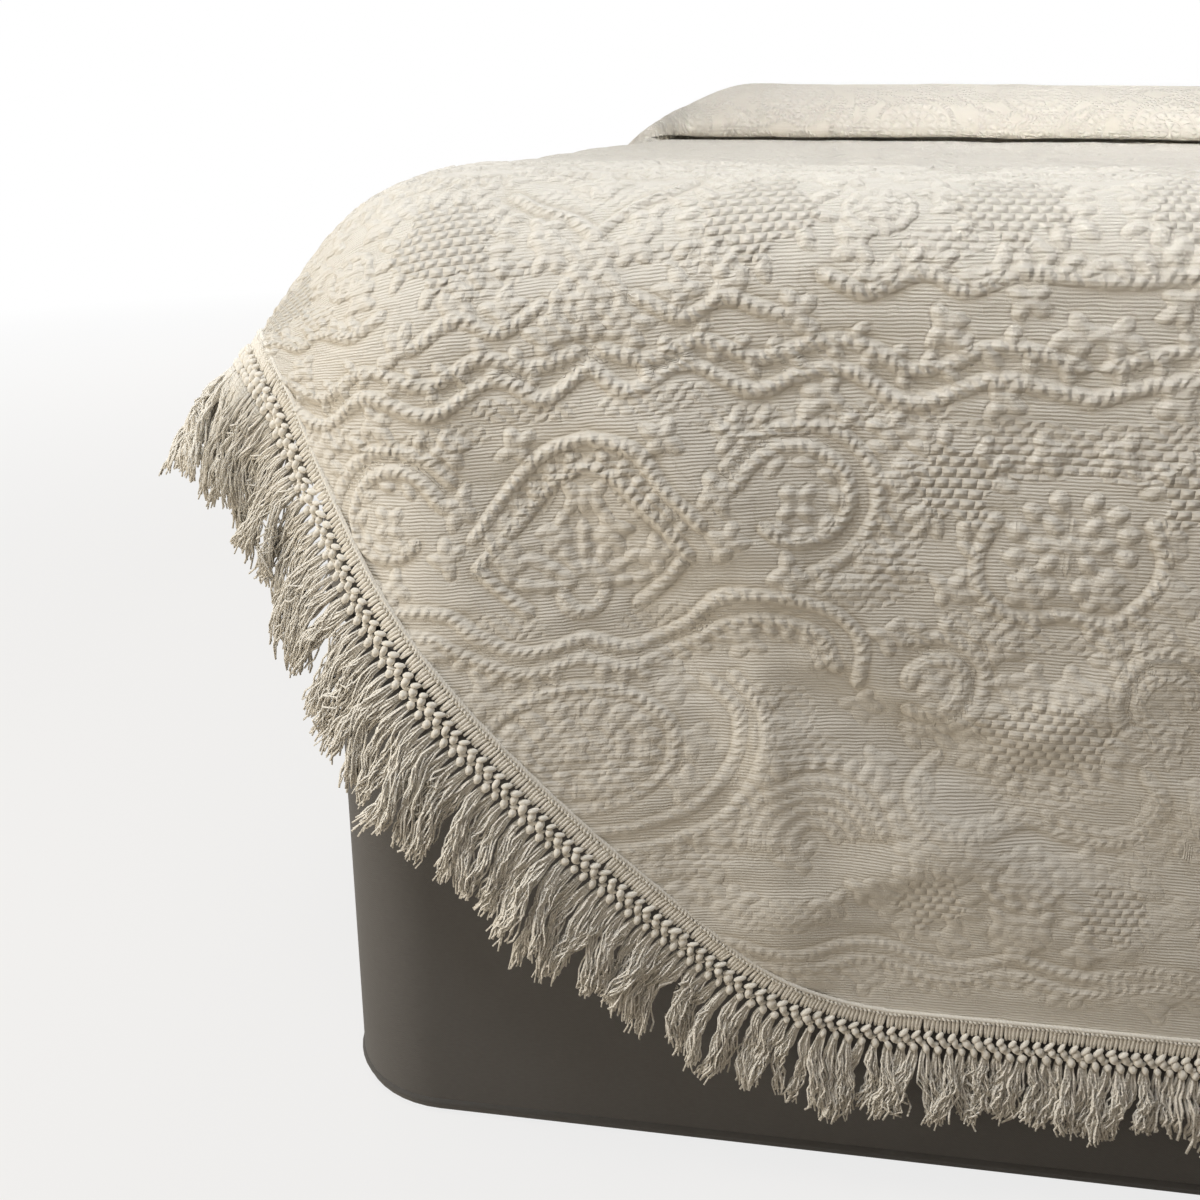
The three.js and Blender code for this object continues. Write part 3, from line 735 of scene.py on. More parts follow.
def border_figure() -> Figure:
    """The border along the foot, by distance from a mirror axis and run."""
    f = Figure()
    f.line((0, -70), (44, -80), (90, -68), (140, -80), (190, -68), (243, -76), width=3.6)
    f.garland((0, -56), (44, -66), (90, -54), (140, -66), (190, -54), (243, -62), side=-1, long=4.8)
    f.leaf(52, -24, 26, 170, lobes=4)
    f.leaf(186, -22, 27, 12, lobes=4)
    f.rosette(122, -22, 17)
    f.garland((0, 16), (38, 24), (84, 12), (128, 26), (180, 14), (243, 20))
    f.garland((0, 62), (34, 52), (66, 60), (104, 48), (140, 58), (176, 46), (243, 56), side=1)
    f.leaf(84, 104, 35, 196)
    f.leaf(196, 100, 34, -18)
    f.rosette(138, 108, 15)
    f.line((0, 112), (16, 96), (34, 86), (46, 76))
    f.garland((114, 140), (134, 148), (160, 140), (180, 148), (206, 138), (243, 143), side=-1)
    f.rosette(0, 146, 17)
    f.line((24, 146), (46, 156), (68, 148), (92, 158), width=3.6)
    f.line((0, 178), (22, 190), (50, 180), (82, 196), (122, 184), (160, 202), (200, 188), (243, 198),
           width=3.8)
    f.garland((6, 170), (30, 176), (56, 168), (86, 180), (124, 170), (160, 186), (200, 174), (238, 182),
              long=4.6)
    f.scroll(108, 252, 31, 200)
    f.line((60, 262), (44, 244), (26, 222), (0, 212), width=3.8)
    f.garland((56, 280), (36, 258), (20, 238), (0, 228), side=1, long=4.8)
    f.leaf(186, 240, 27, 150, lobes=4)
    f.spray(0, 296, 27, -90)
    f.line((0, 322), (26, 330), (52, 320), (70, 304), (98, 302), (128, 310), (146, 328), (146, 350),
           width=3.8)
    f.garland((0, 334), (26, 342), (54, 332), (76, 318), (98, 316), (122, 324), (134, 342), side=1,
              long=4.4)
    f.line((30, 306), (44, 294), (52, 284))
    f.rosette(243, 270, 27)
    f.garland((243, 306), (220, 310), (204, 298), (198, 278), (206, 258), side=-1, long=4.6)
    f.medallion(0, 388, 40, 27, 180)
    f.scroll(184, 350, 19, 120, -1)
    f.line((68, 352), (84, 372), (84, 398), (66, 422), (36, 436), (0, 440), width=3.6)
    f.garland((80, 350), (98, 372), (98, 402), (78, 432), (42, 450), (0, 453), side=-1, long=4.6)
    f.fan(128, 448, 12, 4, 180, 345)
    f.pebbled((112, 372, 12, 20, 0), (122, 392, 18, 12, 0))
    f.leaf(236, 376, 30, 96)
    f.garland((190, 394), (178, 412), (188, 432), (212, 438), (243, 430), side=-1)
    f.rosette(243, 462, 18)
    f.leaf(34, 486, 23, 20, lobes=4)
    f.leaf(196, 480, 24, 200, lobes=4)
    f.line((0, 514), (36, 520), (78, 512), (120, 522), (164, 512), (206, 522), (243, 514), width=3.6)
    f.garland((0, 524), (36, 531), (78, 523), (120, 533), (164, 523), (206, 533), (243, 525), side=1,
              long=4.6)
    f.sprigs((14, 262, 70), (40, 216, -150), (76, 216, 200), (150, 214, 10), (226, 222, 60),
             (150, 280, 40), (216, 330, -60), (60, 386, 20), (158, 398, 60), (86, 486, -20),
             (140, 486, 120), (240, 500, 90), (20, 412, -60), (166, 90, 90), (112, 76, -100),
             (24, 118, 130), (66, 140, 60), (8, 500, 40))
    f.pebbled((34, 196, 30, 7, -4), (84, 210, 34, 8, 6), (150, 206, 34, 8, -8), (214, 214, 34, 8, 4),
              (112, 494, 34, 13, 0), (66, 460, 22, 10, -18), (158, 262, 15, 34, 10),
              (150, 296, 26, 13, -20), (222, 226, 26, 12, 0), (214, 318, 30, 9, 12), (228, 410, 26, 9, 0),
              (28, 244, 10, 20, -30), (12, 226, 12, 9, 0), (40, 314, 24, 7, -10), (56, 128, 26, 9, 10),
              (168, 126, 22, 9, -8), (20, 84, 22, 9, -20), (20, 38, 30, 9, 0), (118, 38, 34, 9, -4),
              (214, 34, 28, 9, 4))
    f.fill(-86, 540, 3, 31.0)
    return f


@dataclass
class Relief:
    """Everything that the weave's pattern says at a set of flat points."""

    cord: Array
    aside: Array
    along: Array
    height: Array
    lobe: Array
    waffle: Array
    pebble: Array
    second: Array

    @classmethod
    def blank(cls, count: int) -> "Relief":
        """Plain ground at a number of points."""
        return cls(*(np.full(count, value) for value in (12.0, 12.0, 0.0, 0.0, -8.0, -8.0, -8.0, 12.0)))

    @classmethod
    def over(cls, across: Array, run: Array) -> "Relief":
        """Reads the pattern.

        Args:
            across: Signed flat distance from the middle line, in metres.
            run: Flat distance toward the foot, in metres.

        Returns:
            Distance from the nearest cord, place beside and along it, raised height,
            and how far a point lies in a waffled or pebbled field.
        """
        relief = cls.blank(len(across))
        u = across * 1000 + DRIFT_ACROSS.at(across, run) - AXIS
        u = np.abs((u + HALF_REPEAT) % (2 * HALF_REPEAT) - HALF_REPEAT)
        v = run * 1000 + DRIFT_RUN.at(across, run)
        relief.read(border_figure(), u, np.where(run > FIGURES_FROM[0], v, 1e6))
        return relief

    def read(self, figure: Figure, u: Array, v: Array) -> None:
        """Adds one figure's cords, lobes and fields."""
        for cord in figure.cords:
            low, high = cord.points.min(0) - 12, cord.points.max(0) + 12
            near = np.nonzero((u > low[0]) & (u < high[0]) & (v > low[1]) & (v < high[1]))[0]
            if not len(near):
                continue
            start, step = cord.points[:-1], np.diff(cord.points, axis=0)
            length, begun = np.linalg.norm(step, axis=1), reach_along(cord.points)
            p = np.stack([u[near], v[near]], -1)[:, None, :] - start[None]
            share = np.clip((p * step).sum(-1) / length ** 2, 0, 1)
            gap = np.linalg.norm(p - share[..., None] * step, axis=-1)
            best = gap.argmin(1)
            rows = np.arange(len(near))
            distance = gap[rows, best]
            side = p[rows, best, 0] * step[best, 1] - p[rows, best, 1] * step[best, 0]
            closer = distance < self.cord[near]
            self.second[near] = np.where(closer, self.cord[near], np.minimum(self.second[near], distance))
            at = near[closer]
            self.cord[at] = distance[closer]
            self.aside[at] = (distance * np.sign(side))[closer]
            self.along[at] = (begun[best] + share[rows, best] * length[best])[closer]
            slope = np.minimum(distance / (cord.half_width * 1.15), 1) * math.pi / 2
            self.height[near] = np.maximum(self.height[near], cord.height * np.cos(slope) ** 2)
        for lobe in figure.lobes:
            near, q = self.within(u, v, lobe.x, lobe.y, lobe.long, lobe.wide, lobe.angle, 2.0)
            dome = lobe.height * np.sqrt(np.clip(1 - q * q, 0, 1))
            self.height[near] = np.maximum(self.height[near], dome)
            self.lobe[near] = np.maximum(self.lobe[near], (1 - q) * lobe.wide)
        for patch in figure.fields:
            target = self.waffle if patch.waffle else self.pebble
            for x, y, rx, ry, angle in patch.ovals:
                near, q = self.within(u, v, x, y, rx, ry, angle, 1.4)
                target[near] = np.maximum(target[near], (1 - q) * min(rx, ry))

    @staticmethod
    def within(u: Array, v: Array, x: float, y: float, rx: float, ry: float, angle: float,
               reach: float = 1.0) -> tuple[Array, Array]:
        """Points near an oval, and how far out each lies, 1 on the oval."""
        span = max(rx, ry) * reach
        near = np.nonzero((abs(u - x) < span) & (abs(v - y) < span))[0]
        c, s = math.cos(math.radians(angle)), math.sin(math.radians(angle))
        dx, dy = u[near] - x, v[near] - y
        return near, np.hypot((dx * c + dy * s) / rx, (-dx * s + dy * c) / ry)


# ---- Finishes ----
class Nodes:
    """Adds nodes to one node tree."""

    def __init__(self, tree: bpy.types.NodeTree) -> None:
        """Starts with a tree."""
        self.tree = tree

    def node(self, kind: str) -> bpy.types.Node:
        """A new node, by the end of its type's name."""
        return self.tree.nodes.new("ShaderNode" + kind)

    def put(self, target: Socket, value: Value | tuple) -> None:
        """Links a socket to a target, or sets the target's value."""
        if isinstance(value, bpy.types.NodeSocket):
            self.tree.links.new(value, target)
        else:
            target.default_value = value

    def math(self, operation: str, a: Value, b: Value = 0.0, clamp: bool = False) -> Socket:
        """One math node's result."""
        node = self.node("Math")
        node.operation, node.use_clamp = operation, clamp
        self.put(node.inputs[0], a)
        self.put(node.inputs[1], b)
        return node.outputs[0]

    def add(self, *terms: Value) -> Socket:
        """Sum of several values."""
        return reduce(lambda a, b: self.math("ADD", a, b), terms)

    def times(self, *terms: Value) -> Socket:
        """Product of several values."""
        return reduce(lambda a, b: self.math("MULTIPLY", a, b), terms)

    def highest(self, *terms: Value) -> Socket:
        """Largest of several values."""
        return reduce(lambda a, b: self.math("MAXIMUM", a, b), terms)

    def less(self, a: Value, b: Value, clamp: bool = False) -> Socket:
        """Difference of two values."""
        return self.math("SUBTRACT", a, b, clamp)

    def rest(self, value: Socket, clamp: bool = False) -> Socket:
        """One less a value."""
        return self.less(1.0, value, clamp)

    def size(self, value: Socket) -> Socket:
        """A value without its sign."""
        return self.math("ABSOLUTE", value)

    def wave(self, value: Socket, pitch: float) -> Socket:
        """Sine of a length over a pitch, from -1 to 1."""
        return self.math("SINE", self.times(value, 2 * math.pi / pitch))

    def ramp(self, value: Socket, start: float, end: float, low: float = 0.0, high: float = 1.0) -> Socket:
        """Linear step from a low value at start to a high one at end."""
        node = self.node("MapRange")
        for index, number in enumerate((start, end, low, high), 1):
            node.inputs[index].default_value = number
        self.put(node.inputs[0], value)
        return node.outputs[0]

    def band(self, value: Socket, middle: Value, half: float) -> Socket:
        """A peak where a value is at its middle, from 1 there to 0 at a half width."""
        return self.rest(self.times(self.size(self.less(value, middle)), 1 / half), clamp=True)

    def blend(self, share: Socket, dark: tuple[float, ...], light: tuple[float, ...]) -> Socket:
        """A colour between two."""
        node = self.node("Mix")
        node.data_type = "RGBA"
        self.put(node.inputs[0], share)
        node.inputs[6].default_value = (*dark, 1.0)
        node.inputs[7].default_value = (*light, 1.0)
        return node.outputs[2]

    def seen(self) -> Socket:
        """1 for rays that end in the camera's picture, 0 for those that light things."""
        rays = self.node("LightPath").outputs
        return self.highest(*(rays[f"Is {kind} Ray"] for kind in ("Camera", "Glossy", "Transmission")))


class Graph(Nodes):
    """Builds one material's nodes."""

    def __init__(self, name: str) -> None:
        """Starts an empty material with its output and shader."""
        self.material = bpy.data.materials.new(name)
        self.material.use_nodes = True
        super().__init__(self.material.node_tree)
        self.tree.nodes.clear()
        self.shader = self.node("BsdfPrincipled")
        self.surface = self.node("OutputMaterial").inputs["Surface"]
        self.put(self.surface, self.shader.outputs[0])

    def attribute(self, name: str) -> Socket:
        """A value stored on the piece's points."""
        node = self.node("Attribute")
        node.attribute_name = name
        return node.outputs["Fac"]

    def uv(self) -> tuple[Socket, Socket, Socket]:
        """The piece's texture coordinates: both together, then each."""
        node = self.node("UVMap")
        node.uv_map = "UVMap"
        split = self.node("SeparateXYZ")
        self.put(split.inputs[0], node.outputs[0])
        return node.outputs[0], split.outputs[0], split.outputs[1]

    def place(self) -> Socket:
        """Object coordinates, in metres."""
        return self.node("TexCoord").outputs["Object"]

    def noise(self, vector: Socket, scale: float, detail: float = 2.0,
              stretch: Triple = (1.0, 1.0, 1.0)) -> Socket:
        """Noise from 0 to 1, at a number of cells a metre."""
        mapping = self.node("Mapping")
        mapping.inputs["Scale"].default_value = stretch
        self.put(mapping.inputs["Vector"], vector)
        node = self.node("TexNoise")
        node.inputs["Scale"].default_value = scale
        node.inputs["Detail"].default_value = detail
        self.put(node.inputs["Vector"], mapping.outputs[0])
        return node.outputs["Fac"]

    def dull(self, roughness: float, gloss: float) -> None:
        """Sets the shader's roughness and how much it reflects."""
        self.shader.inputs["Roughness"].default_value = roughness
        self.shader.inputs["Specular IOR Level"].default_value = gloss

    def finish(self, colour: Socket, height: Socket, roughness: float, sheen: float) -> Material:
        """Sets the shader.

        Args:
            colour: Its base colour.
            height: Relief in metres.
            roughness: Its roughness.
            sheen: Weight of its fibres' sheen.

        Returns:
            The finished material.
        """
        bump = self.node("Bump")
        bump.inputs["Strength"].default_value = 1.0
        bump.inputs["Distance"].default_value = 1.0
        self.put(bump.inputs["Height"], height)
        self.put(self.shader.inputs["Normal"], bump.outputs[0])
        self.put(self.shader.inputs["Base Color"], colour)
        self.dull(roughness, 0.25)
        self.shader.inputs["Sheen Weight"].default_value = sheen
        self.shader.inputs["Sheen Roughness"].default_value = 0.6
        return self.material


@dataclass(frozen=True)
class MatelasseFinish:
    """Heavy cream cotton: raised figures over a finely ribbed ground.

    The second block holds pitches, the third how high each part of the weave stands.
    """

    # The colour runs from light to painted_shade, the darker colour of the shade painted into the weave's
    # hollows.
    light: Triple = (0.85, 0.815, 0.745)
    painted_shade: Triple = (0.71, 0.655, 0.56)
    roughness: float = 0.92
    sheen: float = 0.12

    rib_pitch: float = 1.8 * MM
    lump_pitch: float = 5.8 * MM
    waffle_pitch: Pair = (6.8 * MM, 5.4 * MM)
    scale_pitch: Pair = (9.4 * MM, 5.0 * MM)
    grain_pitch: Pair = (7.4 * MM, 4.6 * MM)
    cell: Pair = (487 / 3 * MM, 132 * MM)

    lumps: float = 0.30 * MM
    cord_edge: float = 0.36 * MM
    lobe_edge: float = 0.48 * MM
    waffle: float = 1.35 * MM
    scales: float = 0.44 * MM
    pebbles: float = 0.75 * MM
    gutter: float = -0.22 * MM
    ribs: float = 0.20 * MM
    threads: float = 0.30 * MM
    creases: float = 1.3 * MM
    repeat: float = 3.0 * MM

    # Rings of petals, each with its radius, number of petals and half width in millimetres.
    medallion: tuple[Ring, ...] = ((8, 6, 6), (23, 14, 6.5), (38, 24, 5.5), (51, 60, 3.8))
    flower: tuple[Ring, ...] = ((7, 8, 5.5), (19, 16, 5.5), (29, 36, 3.6))
    # Wavy cords of the repeat: distance from its middle, swing and pitch.
    wavy: tuple[Triple, ...] = ((58 * MM, 5 * MM, 54 * MM), (46 * MM, 9 * MM, 81 * MM))

    def allover(self, g: Graph, across: Socket, run: Socket) -> Socket:
        """The repeat that covers the rest of the cloth: petalled medallions, rosettes and wavy cords.

        Args:
            g: The material's graph.
            across: Flat distance from the middle line.
            run: Flat distance toward the foot.

        Returns:
            Raised height, 0 to 1.
        """
        wide, tall = self.cell
        column = g.times(across, 1 / wide)
        du = g.times(g.less(g.math("FRACT", column), 0.5), wide)
        line = g.add(g.times(run, 1 / tall), g.times(g.math("FLOOR", column), 0.5))
        dv = g.times(g.less(g.math("FRACT", line), 0.5), tall)
        level = self.rings(g, du, dv, self.medallion)
        corner = g.less(wide / 2, g.size(du)), g.less(tall / 2, g.size(dv))
        level = g.highest(level, self.rings(g, *corner, self.flower))
        for shift, swing, pitch in self.wavy:
            middle = g.add(shift, g.times(g.wave(du, pitch), swing))
            bend = g.less(g.size(dv), middle)
            lumped = g.add(0.72, g.times(g.wave(g.add(du, g.times(bend, 0.4)), self.lump_pitch), 0.28))
            cord = g.math("POWER", g.band(g.size(dv), middle, 4.0 * MM), 0.7)
            level = g.highest(level, g.times(cord, lumped))
        patches = g.ramp(g.noise(g.uv()[0], 34.0, 1.0), 0.50, 0.56)
        return g.highest(level, g.times(patches, self.bricks(g, across, run, self.scale_pitch), 0.75))

    @staticmethod
    def rings(g: Graph, du: Socket, dv: Socket, rings: tuple[Ring, ...]) -> Socket:
        """Rings of petals round a point, from their table."""
        reach = g.math("SQRT", g.add(g.times(du, du), g.times(dv, dv)))
        angle = g.math("ARCTAN2", dv, du)
        level: Value = 0.0
        for radius, petals, half in rings:
            petal = g.size(g.math("SINE", g.times(angle, petals / 2)))
            petal = g.times(g.band(reach, radius * MM, half * MM), petal)
            level = g.highest(level, g.math("POWER", petal, 0.6))
        return level

    @staticmethod
    def bricks(g: Graph, across: Socket, run: Socket, pitch: Pair) -> Socket:
        """Round beads in staggered rows, from 0 between them to 1 on their tops."""
        row = g.times(run, 1 / pitch[1])
        place = g.add(g.times(across, 1 / pitch[0]), g.times(g.math("FLOOR", row), 0.5))
        return g.times(*(g.math("SINE", g.times(g.math("FRACT", at), math.pi)) for at in (place, row)))

    def material(self) -> Material:
        """Builds the material."""
        g = Graph("matelasse_cotton")
        both, across, run = g.uv()
        along, aside, near = g.attribute("along"), g.attribute("aside"), g.attribute("cord")
        lobed, pebbled = g.attribute("lobe"), g.attribute("pebble")
        drawn = g.ramp(run, *FIGURES_FROM)
        undrawn = g.rest(drawn)
        drift = g.times(g.less(g.noise(both, 85.0, 1.0), 0.5), 4.0 * MM)

        # The drawn figures: lumpy cords, lobes, and waffled and pebbled patches.
        away = g.highest(g.size(aside), g.times(g.ramp(near, 3.6 * MM, 5.2 * MM), 5.2 * MM))
        cord = g.times(drawn, g.rest(g.ramp(away, 0.8 * MM, 4.0 * MM)))
        uneven = g.times(g.less(g.noise(both, 120.0, 1.0), 0.5), 5.0 * MM)
        slant = g.add(along, g.times(aside, 0.4), uneven)
        lumps = g.times(cord, g.attribute("clear"), g.wave(slant, self.lump_pitch), self.lumps)
        cord_edge = g.times(g.math("POWER", cord, 0.6), self.cord_edge)
        lobe = g.times(drawn, g.ramp(lobed, -0.3 * MM, 2.0 * MM))
        lobe_edge = g.times(g.math("POWER", lobe, 0.6), self.lobe_edge)
        waffled = g.times(drawn, g.ramp(g.attribute("waffle"), -0.6 * MM, 1.2 * MM))
        bead = self.bricks(g, g.add(across, drift), g.add(run, g.times(drift, 0.6)), self.waffle_pitch)
        waffle = g.times(waffled, bead, self.waffle)
        patch = g.ramp(pebbled, -0.8 * MM, 0.8 * MM)
        grain = self.bricks(g, g.add(across, g.times(drift, 1.3)), g.add(run, drift), self.grain_pitch)
        grained = g.add(g.times(grain, 0.85), g.times(g.noise(both, 420.0, 1.0), 0.3))
        pebbles = g.times(g.times(drawn, patch), grained, self.pebbles)
        beside = g.highest(g.band(away, 4.7 * MM, 1.5 * MM), g.band(lobed, -1.1 * MM, 1.0 * MM))

        # Loose scales of yarn on and round the figures, and the ribbed ground between them.
        allover = self.allover(g, g.add(across, g.times(drift, 0.7)), g.add(run, drift))
        figured = g.highest(g.ramp(lobed, -3.4 * MM, -0.4 * MM), waffled,
                            g.rest(g.ramp(near, 3.4 * MM, 7.0 * MM)), patch)
        repeated = g.math("MINIMUM", g.times(allover, 2.0), 1.0)
        figured = g.add(g.times(drawn, figured), g.times(undrawn, repeated))
        scale = self.bricks(g, g.add(across, g.times(drift, 1.6)), g.add(run, drift), self.scale_pitch)
        scales = g.times(figured, g.rest(waffled), scale, self.scales)
        ground = g.rest(g.times(figured, 0.58))
        wander = g.times(g.noise(both, 60.0), 2.2 * MM)
        strength = g.add(0.35, g.noise(both, 900.0, 2.0, (1.0, 0.35, 1.0)))
        ribs = g.times(ground, g.wave(g.add(run, wander), self.rib_pitch), strength, self.ribs)
        threads = g.times(g.noise(both, 1100.0, 3.0, (1.0, 0.6, 1.0)), self.threads)
        creases = g.times(g.noise(both, 95.0, 2.0, (0.30, 1.0, 1.0)), ground, self.creases)

        fullness = g.add(g.times(g.ramp(run, *FULLNESS[2:]), FULLNESS[1] - FULLNESS[0]), FULLNESS[0])
        raised = g.times(g.add(lumps, cord_edge, lobe_edge, waffle, scales, pebbles,
                               g.times(drawn, beside, self.gutter)), fullness)
        height = g.add(raised, ribs, threads, creases, g.times(undrawn, allover, self.repeat))

        # Painted shade: the colour darkens in the grooves and hollows, between the beads and scales,
        # beside the cords and lobes, and on the repeat's low ground. The slow noise is a random tone.
        painted_shade = g.times(g.ramp(g.attribute("painted_shade"), 0.0, 1.0), drawn, 0.55)
        shade = g.less(g.add(0.80, g.times(g.noise(both, 14.0), 0.25)), painted_shade, clamp=True)
        painted_pit_shade = g.add(g.times(waffled, g.rest(bead), 0.34), g.times(figured, g.rest(scale), 0.10),
                     g.times(drawn, beside, 0.30), g.times(undrawn, g.rest(allover), 0.36))
        colour = g.blend(g.less(shade, painted_pit_shade, clamp=True), self.painted_shade, self.light)
        return g.finish(colour, height, self.roughness, self.sheen)


@dataclass(frozen=True)
class YarnFinish:
    """Plied cotton yarn, by texture coordinates round and along each strand."""

    name: str = "fringe_cotton"
    # The yarn darkens toward painted_shade, both as shade painted into the ply grooves and as its random
    # tone.
    light: Triple = (0.955, 0.92, 0.845)
    painted_shade: Triple = (0.88, 0.825, 0.72)
    ply_pitch: float = 2.2 * MM
    ply_height: float = 0.06 * MM
    fuzz_height: float = 0.07 * MM

    def material(self) -> Material:
        """Builds the material."""
        g = Graph(self.name)
        _, around, along = g.uv()
        turn = g.add(g.times(around, 4 * math.pi), g.times(along, 2 * math.pi / self.ply_pitch))
        twist = g.math("SINE", turn)
        fuzz = g.noise(g.place(), 1500.0, 2.0)
        height = g.add(g.times(twist, self.ply_height), g.times(fuzz, self.fuzz_height))
        # Painted shade: the colour darkens in the grooves between the plies, following the twist. The
        # noise is a random tone.
        shade = g.add(0.52, g.times(twist, 0.16), g.times(g.noise(g.place(), 55.0, 3.0), 0.75))
        colour = g.blend(g.math("MINIMUM", shade, 1.0, clamp=True), self.painted_shade, self.light)
        return g.finish(colour, height, 0.9, 0.3)


@dataclass(frozen=True)
class PlainWeaveFinish:
    """Plain woven cloth on Object coordinates, for the bed and the pillow."""

    name: str
    light: Triple
    dark: Triple
    thread: float = 1.1 * MM
    weave_height: float = 0.07 * MM
    slub_height: float = 0.15 * MM

    def material(self) -> Material:
        """Builds the material."""
        g = Graph(self.name)
        place = g.place()
        split = g.node("SeparateXYZ")
        g.put(split.inputs[0], place)
        flat = g.add(split.outputs[0], split.outputs[1])
        weave = g.times(g.wave(flat, self.thread), g.wave(split.outputs[2], self.thread))
        slub = g.noise(place, 240.0, 3.0, (1.0, 1.0, 3.0))
        height = g.add(g.times(weave, self.weave_height), g.times(slub, self.slub_height))
        # Painted shade: the colour darkens where the weave dips between threads. It is also lighter on the
        # slubs, with a slow random tone.
        shade = g.add(0.25, g.times(slub, 0.5), g.times(weave, 0.12), g.times(g.noise(place, 9.0), 0.2))
        return g.finish(g.blend(shade, self.dark, self.light), height, 0.93, 0.1)


CLOTH_FINISH = MatelasseFinish()
YARN_FINISH = YarnFinish()
BED_FINISH = PlainWeaveFinish("bed_upholstery", (0.150, 0.145, 0.140), (0.095, 0.092, 0.089), 1.6 * MM)
PIPING_FINISH = PlainWeaveFinish("bed_piping", (0.120, 0.116, 0.112), (0.075, 0.073, 0.070), 1.2 * MM)
MATTRESS_FINISH = PlainWeaveFinish("mattress_ticking", (0.225, 0.218, 0.210), (0.165, 0.160, 0.154),
                                   1.3 * MM)
PILLOW_FINISH = PlainWeaveFinish("pillow_cotton", (0.82, 0.80, 0.76), (0.70, 0.68, 0.64))
HEM_FINISH = PlainWeaveFinish("hem_cotton", (0.86, 0.82, 0.75), (0.74, 0.68, 0.59), 0.9 * MM)


def dress(piece: Piece, material: Material) -> Piece:
    """Gives a piece one material."""
    piece.data.materials.clear()
    piece.data.materials.append(material)
    return piece


# ---- The sheet ----
# Fine cells along a base cell's side, and the unevenness of the padded cloth.
SPLIT = 4
PUCKER_PLAIN = Uneven(0.55, 0.036, 0.022, 6)
PUCKER_LONG = Uneven(0.74, 0.034, 0.0105, 5)
PUCKER_SHORT = Uneven(0.36, 0.015, 0.0065, 9)
BILLOW_WIDE = Uneven(1.3, 0.085, 0.045, 3)
BILLOW_SMALL = Uneven(0.5, 0.046, 0.024, 12)


